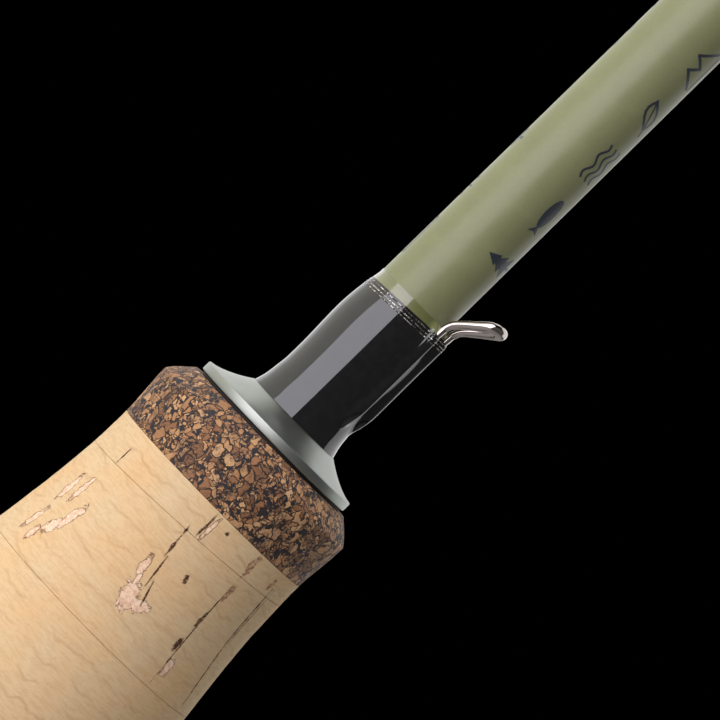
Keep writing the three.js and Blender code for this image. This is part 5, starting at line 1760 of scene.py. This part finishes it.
# ---------- fly reel ----------
@dataclass(frozen=True)
class FlyReel:
    """The reel, in its own frame: z along the axle towards the crank, y up to the rod."""

    axle: tuple[float, float, float] = (0.0, -55.35, 68.1)
    frame: float = 39.0
    wall: float = 2.2
    back: float = -14.0
    plate: float = 2.5
    front: float = 11.5
    ring: float = 2.6
    posts: tuple[float, ...] = (60, 120, 180, 240, 300)
    post: float = 7.0
    platform: float = 27.0
    port: float = 4.2
    ports: int = 10
    flange: float = 36.0
    arbor: float = 20.0
    spool_rear: float = -9.4
    face: float = 11.0
    rim: float = 39.8
    rim_length: float = 3.2
    crank: float = 28.0
    knob: float = 6.4
    knob_length: float = 19.5
    inner_port: float = 3.6
    inner_ports: int = 6
    spindle_hole: float = 2.15
    back_port: float = 2.2
    back_ports_at: float = 15.6
    platform_top: float = 42.0
    platform_depth: float = 13.0
    hub: float = 10.0
    hub_wall: float = 1.4
    hub_end: float = -5.2  # where the back plate's hub stops, inside the spool
    ports_in: float = 9.3  # from the frame's bore to the middles of the back ports
    spool_bore: float = 4.2
    spool_hub: float = 6.6
    spool_back: float = -4.5
    arbor_wall: float = 1.6

    def put(
        self, bm: BMesh, name: str, look: Look, body: Body, slot: Slot, node: str, sharp: float = 32
    ) -> None:
        """Moves a mesh from the reel's frame to the rod's and publishes it."""
        placed = Matrix.Translation(Vector(self.axle) * MM) @ Matrix.Rotation(math.pi / 2, 4, "Y")
        bmesh.ops.transform(bm, matrix=placed, verts=bm.verts)
        publish(bm, name, look, body, slot, node, sharp=sharp)

    @staticmethod
    def pillar(
        radius: float, low: float, high: float, x: float = 0.0, y: float = 0.0, sides: int = 48
    ) -> BMesh:
        """Makes an upright cylinder from a cone with equal ends."""
        bm = bmesh.new()
        middle = Matrix.Translation(Vector((x, y, (low + high) / 2)) * MM)
        size = radius * MM
        tall = (high - low) * MM
        bmesh.ops.create_cone(
            bm, cap_ends=True, segments=sides, radius1=size, radius2=size, depth=tall, matrix=middle
        )
        return bm

    def drills(
        self, radius: float, away: float, low: float, high: float, turns: Sequence[float], sides: int = 48
    ) -> list[BMesh]:
        """Returns the cutters of a ring of round holes, one at each share of a turn."""
        angles = [2 * math.pi * turn for turn in turns]
        return [self.pillar(radius, low, high, away * math.sin(t), away * math.cos(t), sides) for t in angles]

    def windows(self) -> BMesh:
        """Returns the cutters that open the frame between its posts."""
        low, high = self.back + self.plate, self.front - self.ring
        edges = [0, *self.posts, 360]
        post = math.degrees(2 * math.asin(self.post / 2 / self.frame))
        seat = math.degrees(2 * math.asin((self.platform / 2 + 1) / self.frame))
        cutters = []
        for i, (start, end) in enumerate(zip(edges, edges[1:])):
            a = math.radians(start + (seat if i == 0 else post) / 2)
            b = math.radians(end - (seat if i + 2 == len(edges) else post) / 2)
            wedge = bmesh.new()
            arc = [a + (b - a) * k / 12 for k in range(13)]
            inner, outer = 0.8 * self.frame, 1.2 * self.frame
            corners = [(inner * math.sin(t), inner * math.cos(t)) for t in arc]
            corners += [(outer * math.sin(t), outer * math.cos(t)) for t in reversed(arc)]
            face = wedge.faces.new([wedge.verts.new((x * MM, y * MM, low * MM)) for x, y in corners])
            made = bmesh.ops.extrude_face_region(wedge, geom=[face])["geom"]
            tops = [part for part in made if isinstance(part, bmesh.types.BMVert)]
            bmesh.ops.translate(wedge, vec=(0, 0, (high - low) * MM), verts=tops)
            bmesh.ops.recalc_face_normals(wedge, faces=wedge.faces)
            cutters.append(wedge)
        return joined(*cutters)

    def frame_shape(self) -> BMesh:
        """Turns the frame and opens its windows and back ports."""
        back, out, front = self.back, self.frame, self.front
        inside = back + self.plate
        bore = out - self.wall
        hub, well, end = self.hub, self.hub - self.hub_wall, self.hub_end
        body = revolve(
            [
                (self.spindle_hole, back), (out - 1.0, back), (out - 0.8, back), (out - 0.2, back + 0.3),
                (out, back + 0.9), (out, front - 0.5), (out - 0.5, front), (bore + 0.4, front),
                (bore, front - 0.4), (bore, inside), (hub, inside), (hub, end - 0.3), (hub - 0.3, end),
                (well + 0.3, end), (well, end - 0.3), (well, inside), (self.spindle_hole, inside),
            ],
            sides=144,
        )
        body = carved(body, self.windows())
        low, high = back - 1, inside + 1
        turns = [(i + 0.5) / self.ports for i in range(self.ports)]
        holes = self.drills(self.port, bore - self.ports_in, low, high, turns)
        turns = [i / self.inner_ports for i in range(self.inner_ports)]
        holes += self.drills(self.back_port, self.back_ports_at, low, high, turns, 32)
        return carved(body, joined(*holes))

    def spool_shape(self) -> BMesh:
        """Turns the spool and drills its face."""
        bore, hub, back, web = self.spool_bore, self.spool_hub, self.spool_back, self.face - 3
        inner = self.arbor - self.arbor_wall
        rear, flange, arbor, rim = self.spool_rear, self.flange, self.arbor, self.rim
        start = self.front + 0.6
        top = start + self.rim_length
        body = revolve(
            [
                (hub, back), (hub, web - 1.4), (inner, web - 1.4), (inner, rear), (flange - 0.3, rear),
                (flange, rear + 0.3), (flange, rear + 0.9), (flange - 0.4, rear + 1.2),
                (arbor + 0.6, rear + 1.9), (arbor, rear + 2.5), (arbor, web - 1.1),
                (arbor + 0.6, web - 0.5), (flange, web + 0.5), (flange, start), (rim - 0.4, start),
                (rim, start + 0.4), (rim, top - 0.8), (rim - 0.25, top - 0.25), (rim - 0.8, top),
                (rim - 2.4, top), (rim - 2.8, top - 0.3), (flange - 2.2, self.face), (bore, self.face),
                (bore, back),
            ],
            sides=144,
        )
        turns = [i / self.ports for i in range(self.ports) if i % (self.ports // 2)]
        holes = self.drills(self.port, self.crank - 1, web - 2, self.face + 1, turns)
        turns = [(i + 0.5) / self.inner_ports for i in range(self.inner_ports)]
        holes += self.drills(self.inner_port, (hub + inner) / 2, web - 3, self.face + 1, turns)
        return carved(body, joined(*holes))

    @staticmethod
    def knob_ring(outside: float, dip: float, count: int, low: float, high: float, dish: float) -> BMesh:
        """Skins a grooved knob with slightly dished ends."""
        edge = 0.8
        ring = knurled(outside, dip, count)
        rounding = eased(edge)
        rows = [(low + dish, outside * 0.72), (low, outside * 0.38), (low, edge + dip)]
        rows += [(low + rise, trim) for rise, trim in rounding[1:]]
        rows += [(high - rise, trim) for rise, trim in reversed(rounding[1:])]
        rows += [(high, edge + dip), (high, outside * 0.38), (high - dish, outside * 0.72)]
        return skin([ring(z, trim) for z, trim in rows], 168)

    def build(self, finishes: Finishes) -> None:
        """Builds the reel from its foot to its crank knob."""
        turned = partial(finishes.metal, centre=self.axle, lies_along_x=True)
        dark = turned("gunmetal anodising", (98, 102, 106), 0.3, pitch=0.1, marks=0.003)
        satin = turned("satin reel trim", (190, 192, 190), 0.28, pitch=0.1)
        brass = turned("turned brass", (186, 150, 82), 0.28, pitch=0.08)
        foot = round_edges(node_copy("reel_foot"), 0.35, 3, 25)
        publish(foot, "foot_plate", dark, Body.BUTT, Slot.GUNMETAL, "reel_foot")
        reel_frame = joined(self.frame_shape(), self.platform_shape())
        self.put(reel_frame, "reel_cage", dark, Body.BUTT, Slot.GUNMETAL, "reel_frame")
        for number in (1, 2):
            node = f"foot_screw_{number}"
            screw = round_edges(node_copy(node), 0.12, 2, 40)
            publish(screw, f"countersunk_screw_{number}", brass, Body.BUTT, Slot.BRASS, node)
        for node, body, look, slot, size in (
            ("pressure_plate", Body.BUTT, brass, Slot.BRASS, 0.15),
            ("spindle", Body.BUTT, satin, Slot.ALUMINIUM, 0.2),
            ("clutch_sleeve", Body.SPOOL, brass, Slot.BRASS, 0.15),
            ("click_gear", Body.SPOOL, brass, Slot.BRASS, 0.08),
            ("click_pawl", Body.PAWL, brass, Slot.BRASS, 0.15),
            ("pawl_pin", Body.BUTT, satin, Slot.ALUMINIUM, 0.1),
            ("click_spring", Body.BUTT, satin, Slot.ALUMINIUM, 0.05),
            ("drag_screw", Body.DRAG, brass, Slot.BRASS, 0.15),
        ):
            part = round_edges(node_copy(node), size, 2, 35)
            publish(part, f"{node}_turned", look, body, slot, node, sharp=38)
        disc = finishes.matte("woven drag disc", (34, 34, 37), 0.5, 0.35)
        washer = round_edges(node_copy("drag_washer"), 0.12, 2, 35)
        publish(washer, "drag_disc", disc, Body.BUTT, Slot.DISC, "drag_washer")
        dial = self.knob_ring(10.5, dip=0.7, count=14, low=-21.75, high=-14.25, dish=0.7)
        self.put(dial, "drag_dial_knob", dark, Body.DRAG, Slot.GUNMETAL, "drag_knob", sharp=45)
        self.put(self.spool_shape(), "drilled_spool", dark, Body.SPOOL, Slot.GUNMETAL, "spool")
        cap = self.knob_ring(6.6, dip=0.35, count=12, low=11.4, high=16.0, dish=0.4)
        self.put(cap, "spool_cap_nut", satin, Body.SPOOL_NUT, Slot.ALUMINIUM, "spool_cap", sharp=45)
        self.crank_pieces(finishes, satin)

    def platform_shape(self) -> BMesh:
        """Cuts the platform under the foot to the frame's round."""
        low, high = 30.0, self.platform_top
        middle = (self.back + self.front) / 2
        block = slab(self.platform, high - low, self.platform_depth, (0, (high + low) / 2, middle))
        block = carved(block, self.pillar(self.frame - self.wall + 0.2, -30, 30, sides=144))
        return round_edges(block, 0.5, 3, 50)

    def crank_pieces(self, finishes: Finishes, satin: Look) -> None:
        """Turns the crank's post, its knob and the counterweight opposite."""
        base = self.face + 0.05
        start = base + 1.7
        end = start + self.knob_length
        post = revolve(
            [
                (0, base), (4.2, base), (4.2, base + 0.9), (3.9, base + 1.2), (1.8, base + 1.2),
                (1.8, end + 0.2), (2.9, end + 0.2), (2.9, end + 0.7), (2.6, end + 1.1),
                (2.2, end + 1.3), (0.9, end + 1.3), (0.7, end + 1.0), (0, end + 1.0),
            ],
            sides=64,
            closed=False,
        )
        shifted(post, (0, -self.crank, 0))
        self.put(post, "crank_post", satin, Body.SPOOL, Slot.ALUMINIUM, "handle_post")
        outline = [
            (0, 0.7), (0.015, 0.76), (0.06, 0.86), (0.3, 0.82), (0.62, 0.9), (0.88, 1.0), (0.95, 0.97),
            (0.985, 0.9), (1, 0.8),
        ]
        curve = through([(share, radius, 0) for share, radius in outline], 5)
        smooth = [(place.y * self.knob, start + place.x * self.knob_length) for place in curve]
        knob = shifted(revolve([*smooth, (1.95, end), (1.95, start)], sides=96), (0, -self.crank, 0))
        wood = finishes.wood("walnut crank knob")
        self.put(knob, "walnut_knob", wood, Body.KNOB, Slot.WALNUT, "handle_knob", sharp=40)
        weight = revolve(
            [
                (0, base), (5, base), (5, base + 2.5), (4.75, base + 2.95), (4.3, base + 3.3),
                (3.9, base + 3.4), (2.0, base + 3.4), (1.7, base + 3.1), (0, base + 3.1),
            ],
            sides=64,
            closed=False,
        )
        shifted(weight, (0, self.crank, 0))
        self.put(weight, "round_counterweight", satin, Body.SPOOL, Slot.ALUMINIUM, "counterweight")


# ---------- studio ----------
@dataclass(frozen=True)
class Softbox:
    """One tall light beside the rod; azimuths count from the show side, distances are in metres."""

    name: str
    low: float
    high: float
    radiance: float
    distance: float = 0.8
    height: float = 2.0
    middle: float = 1.12
    warmth: tuple[float, float, float] = (1.0, 1.0, 1.0)


@dataclass(frozen=True)
class Studio:
    """The camera, the softboxes round the rod and the pale floor that it stands on."""

    look_at: float = 271.5
    beside: float = 0.4
    lens: float = 300.0
    sensor: float = 36.0
    view_width: float = 68.4
    elevation: float = 0.5
    tip_angle: float = 44.4  # the rod's lean in the picture, above the horizontal
    floor_radius: float = 1.3
    boxes: tuple[Softbox, ...] = (
        Softbox("key", -65, -5, 3.35, warmth=(1.0, 0.98, 1.05)),
        Softbox("side", -130, -65, 1.2, warmth=(1.0, 0.985, 0.9)),
        Softbox("rear left", -178, -131, 1.35),
        Softbox("rear right", 104, 178, 1.15),
        Softbox("front fill", -4, 103, 0.1),
    )

    @staticmethod
    def bearing(azimuth: float) -> Vector:
        """Returns the level direction at an azimuth from the show side."""
        angle = math.radians(SHOW_SIDE + azimuth)
        return Vector((math.sin(angle), -math.cos(angle), 0))

    def camera(self) -> None:
        """Makes the camera, rolled so that the rod leans across the picture."""
        data = bpy.data.cameras.new("camera")
        data.lens = self.lens
        data.sensor_width = self.sensor
        data.clip_start = 0.05
        data.clip_end = 60.0
        away = self.view_width * MM * self.lens / self.sensor
        rise = math.radians(self.elevation)
        back = self.bearing(0) * math.cos(rise) + Vector((0, 0, math.sin(rise)))
        right = self.bearing(90)
        up = back.cross(right)
        lean = math.radians(self.tip_angle)
        x = up * math.cos(lean) + right * math.sin(lean)
        y = up * math.sin(lean) - right * math.cos(lean)
        target = Vector((0, 0, self.look_at * MM)) + right * self.beside * MM
        turned = Matrix((x, y, back)).transposed().to_4x4()
        made = linked("camera", data)
        made.matrix_world = Matrix.Translation(target + back * away) @ turned
        bpy.context.scene.camera = made

    def light(self, box: Softbox) -> None:
        """Makes one softbox, facing the rod."""
        half = math.radians(box.high - box.low) / 2
        width = 2 * box.distance * math.tan(half)
        data = bpy.data.lights.new(box.name, "AREA")
        data.shape = "RECTANGLE"
        data.size = width
        data.size_y = box.height
        data.energy = box.radiance * math.pi * width * box.height
        data.color = box.warmth
        toward = self.bearing((box.low + box.high) / 2)
        side = Vector((0, 0, 1)).cross(toward)
        turned = Matrix((side, Vector((0, 0, 1)), toward)).transposed().to_4x4()
        made = linked(box.name, data)
        made.matrix_world = Matrix.Translation(toward * box.distance + Vector((0, 0, box.middle))) @ turned
        made.visible_camera = False

    def build(self, finishes: Finishes) -> None:
        """Sets up the floor, the lights and a dark room."""
        bm = bmesh.new()
        bmesh.ops.create_circle(bm, cap_ends=True, segments=96, radius=self.floor_radius)
        bmesh.ops.translate(bm, vec=(0, 0, -0.0003), verts=bm.verts)
        mesh = settled(bm, "floor")
        mesh.materials.append(finishes.matte("pale floor", (160, 159, 157), 0.8, 2.0, spread=1.05))
        floor = linked("floor", mesh)
        for box in self.boxes:
            self.light(box)
        world = bpy.data.worlds.new("dark room")
        world.use_nodes = True
        world.node_tree.nodes["Background"].inputs["Color"].default_value = (0, 0, 0, 1)
        bpy.context.scene.world = world
        bpy.context.scene.view_settings.view_transform = "Standard"


def main() -> None:
    """Builds the whole outfit."""
    logging.basicConfig(level=logging.INFO, format="%(name)s: %(message)s")
    studio = Studio()
    studio.camera()
    finishes = Finishes()
    blank = Blank()
    blank.build(finishes)
    Grip().build(finishes, blank)
    Front().build(finishes, blank)
    Prints().build(finishes, blank)
    ReelSeat().build(finishes)
    Guides().build(finishes, blank)
    FlyReel().build(finishes)
    studio.build(finishes)


if __name__ == "__main__":
    main()
